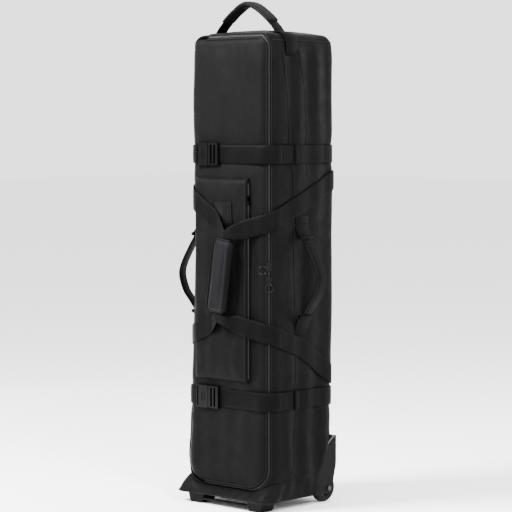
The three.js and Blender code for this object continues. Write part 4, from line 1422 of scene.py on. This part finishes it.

# %% [markdown]
# ## Base, wheels and feet
# The wheel corners are stiff mouldings with a glossy piped rim where the cloth is sewn to them; the rim is
# coloured lighter than the moulding, a painted highlight. Each wheel is a thin rubber tyre on a spoked hub,
# both spun round the axle.

# %% Wheel corners and feet
rim = [(0.1440, 0.1815), (0.1335, 0.1772), (0.1100, 0.1560)]
rim += [(0.0895, 0.1345), (0.0800, 0.1050), (0.0722, 0.0770)]
for name, side in (("left", -1), ("right", 1)):
    softened(f"wheel_housing_{name}", grained, "case", 0.0016)
    face = side * (housing_high.x + 0.0006)
    rim_path = centripetal([(face, y, z) for y, z in rim], 60)
    mesh = swept(rim_path, ring_section(0.0026, 10), Vector((side, 0, 0)))
    finish_piece(f"housing_rim_{name}", mesh, rim_plastic_painted_highlight, "case")
    edge_path = [Vector((face, 0.0722 - 0.0055 * k / 8, 0.0770 - 0.047 * k / 8)) for k in range(9)]
    mesh = swept(edge_path, ring_section(0.0014, 8), Vector((side, 0, 0)))
    finish_piece(f"housing_edge_{name}", mesh, grained, "case")
    screws = bmesh.new()
    for y, z in ((0.1330, 0.1600), (0.1020, 0.1150), (0.0860, 0.0480)):
        screw_at = Matrix.Translation((side * (housing_high.x + 0.0004), y, z))
        spot_at = screw_at @ Matrix.Rotation(math.pi / 2, 4, "Y")
        bmesh.ops.create_cone(
            screws, cap_ends=True, segments=18, radius1=0.0034, radius2=0.0034, depth=0.0016, matrix=spot_at
        )
    ring_edges = [e for e in screws.edges if abs((e.verts[0].co - e.verts[1].co).x) < 0.0002]
    bmesh.ops.bevel(
        screws, geom=ring_edges, offset=0.0005, segments=2, profile=0.5, affect="EDGES", material=-1
    )
    finish_piece(f"housing_screws_{name}", screws, grained, "case", rounded=False)
softened("foot_bar", grained, "case", 0.0018)

# %% Tyres and hubs
axle_y, axle_z = (sum(c) / 2 for c in list(zip(*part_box("wheel_hub_right")))[1:])
wheel_x = sum(c.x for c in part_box("wheel_hub_right")) / 2


def spun(bm, profile, side, steps=48):
    """Spins a closed profile of (radius, distance along the axle) round the wheel's axle."""
    verts = [bm.verts.new((side * (wheel_x + x), axle_y, axle_z + r)) for r, x in profile]
    edges = [bm.edges.new((a, b)) for a, b in zip(verts, verts[1:] + verts[:1])]
    bmesh.ops.spin(
        bm,
        geom=verts + edges,
        cent=(0, axle_y, axle_z),
        axis=(1, 0, 0),
        angle=2 * math.pi,
        steps=steps,
        use_merge=True,
    )


tyre_profile = [(0.0272, -0.0110), (0.0330, -0.0118), (0.0365, -0.0100), (0.0388, -0.0062)]
tyre_profile += [(0.0398, -0.0020), (0.0391, 0.0), (0.0398, 0.0020), (0.0388, 0.0062)]
tyre_profile += [(0.0365, 0.0100), (0.0330, 0.0118), (0.0272, 0.0110), (0.0268, 0.0)]
rim_profile = [(0.0232, -0.0110), (0.0262, -0.0112), (0.0266, -0.0104), (0.0266, 0.0104), (0.0262, 0.0112)]
rim_profile += [(0.0232, 0.0110), (0.0226, 0.0085), (0.0224, 0.0), (0.0226, -0.0085)]
boss_profile = [(0.0113, -0.0110), (0.0128, -0.0112), (0.0136, -0.0100), (0.0138, 0.0), (0.0136, 0.0100)]
boss_profile += [(0.0128, 0.0112), (0.0113, 0.0110)]
for name, side in (("left", -1), ("right", 1)):
    tyre_mesh = bmesh.new()
    spun(tyre_mesh, tyre_profile, side)
    bmesh.ops.recalc_face_normals(tyre_mesh, faces=tyre_mesh.faces)
    finish_piece(f"tyre_{name}", tyre_mesh, tyre_rubber, f"{name}_wheel", [f"wheel_tyre_{name}"])
    hub_mesh = bmesh.new()
    spun(hub_mesh, rim_profile, side)
    spun(hub_mesh, boss_profile, side)
    bmesh.ops.recalc_face_normals(hub_mesh, faces=hub_mesh.faces)
    for k in range(5):
        turn = Matrix.Rotation(2 * math.pi * k / 5, 4, "X")
        spoke = bmesh.new()
        add_block(spoke, (-0.0045, -0.0024, 0.0130), (0.0045, 0.0024, 0.0228), 0.0008)
        bmesh.ops.transform(
            spoke, matrix=Matrix.Translation((side * wheel_x, axle_y, axle_z)) @ turn, verts=spoke.verts
        )
        part = bpy.data.meshes.new("spoke")
        spoke.to_mesh(part)
        spoke.free()
        hub_mesh.from_mesh(part)
        bpy.data.meshes.remove(part)
    finish_piece(f"hub_{name}", hub_mesh, acetal, f"{name}_wheel", [f"wheel_hub_{name}"])
print("wheels at", round(wheel_x, 3), round(axle_y, 3), round(axle_z, 3))

# %% [markdown]
# ## Seams
# Two upright seams divide each side, and a corded seam runs round the top. They show as thin raised lines
# along the cloth.

# %% Seams on the sides and round the top
front_seam = [(1.234, 0.009), (1.180, 0.018), (1.102, 0.029), (0.995, 0.037), (0.895, 0.051)]
front_seam += [(0.700, 0.058), (0.500, 0.062), (0.300, 0.063), (0.258, 0.064), (0.128, 0.053)]
front_seam += [(0.095, 0.040)]
rear_seam = [(1.240, 0.066), (1.222, 0.072), (1.102, 0.097), (0.995, 0.101), (0.900, 0.104)]
for name, side in (("left", -1), ("right", 1)):
    for seam, keys in (("front", front_seam), ("rear", rear_seam)):
        heights = rows_between(keys[-1][0], keys[0][0], 0.006)
        path = [(side * (side_start + along([(z, p) for z, p in keys], z)), z) for z in heights]
        bead(f"side_seam_{seam}_{name}", path, 0.0014, 0.0001, pad_cloth, "case", sides=6)
top_seam_run = 2 * half_round - 2 * zip_place - 0.024
top_ring = [(zip_place + 0.012 + top_seam_run * k / 200, case_top - 0.020) for k in range(201)]
bead("top_seam", top_ring, 0.0019, -0.0002, pad_cloth, "case", sides=8)
print("seams made")

# %% [markdown]
# ## The metal left as packed
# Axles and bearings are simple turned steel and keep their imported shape, with a zinc finish.

# %% Axles and bearings
for name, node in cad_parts.items():
    if name.startswith(("wheel_axle", "wheel_bearing", "base_tray")):
        finish = grained if name == "base_tray" else zinc
        for slot in node.material_slots:
            slot.material = finish.material
print("steel finished")
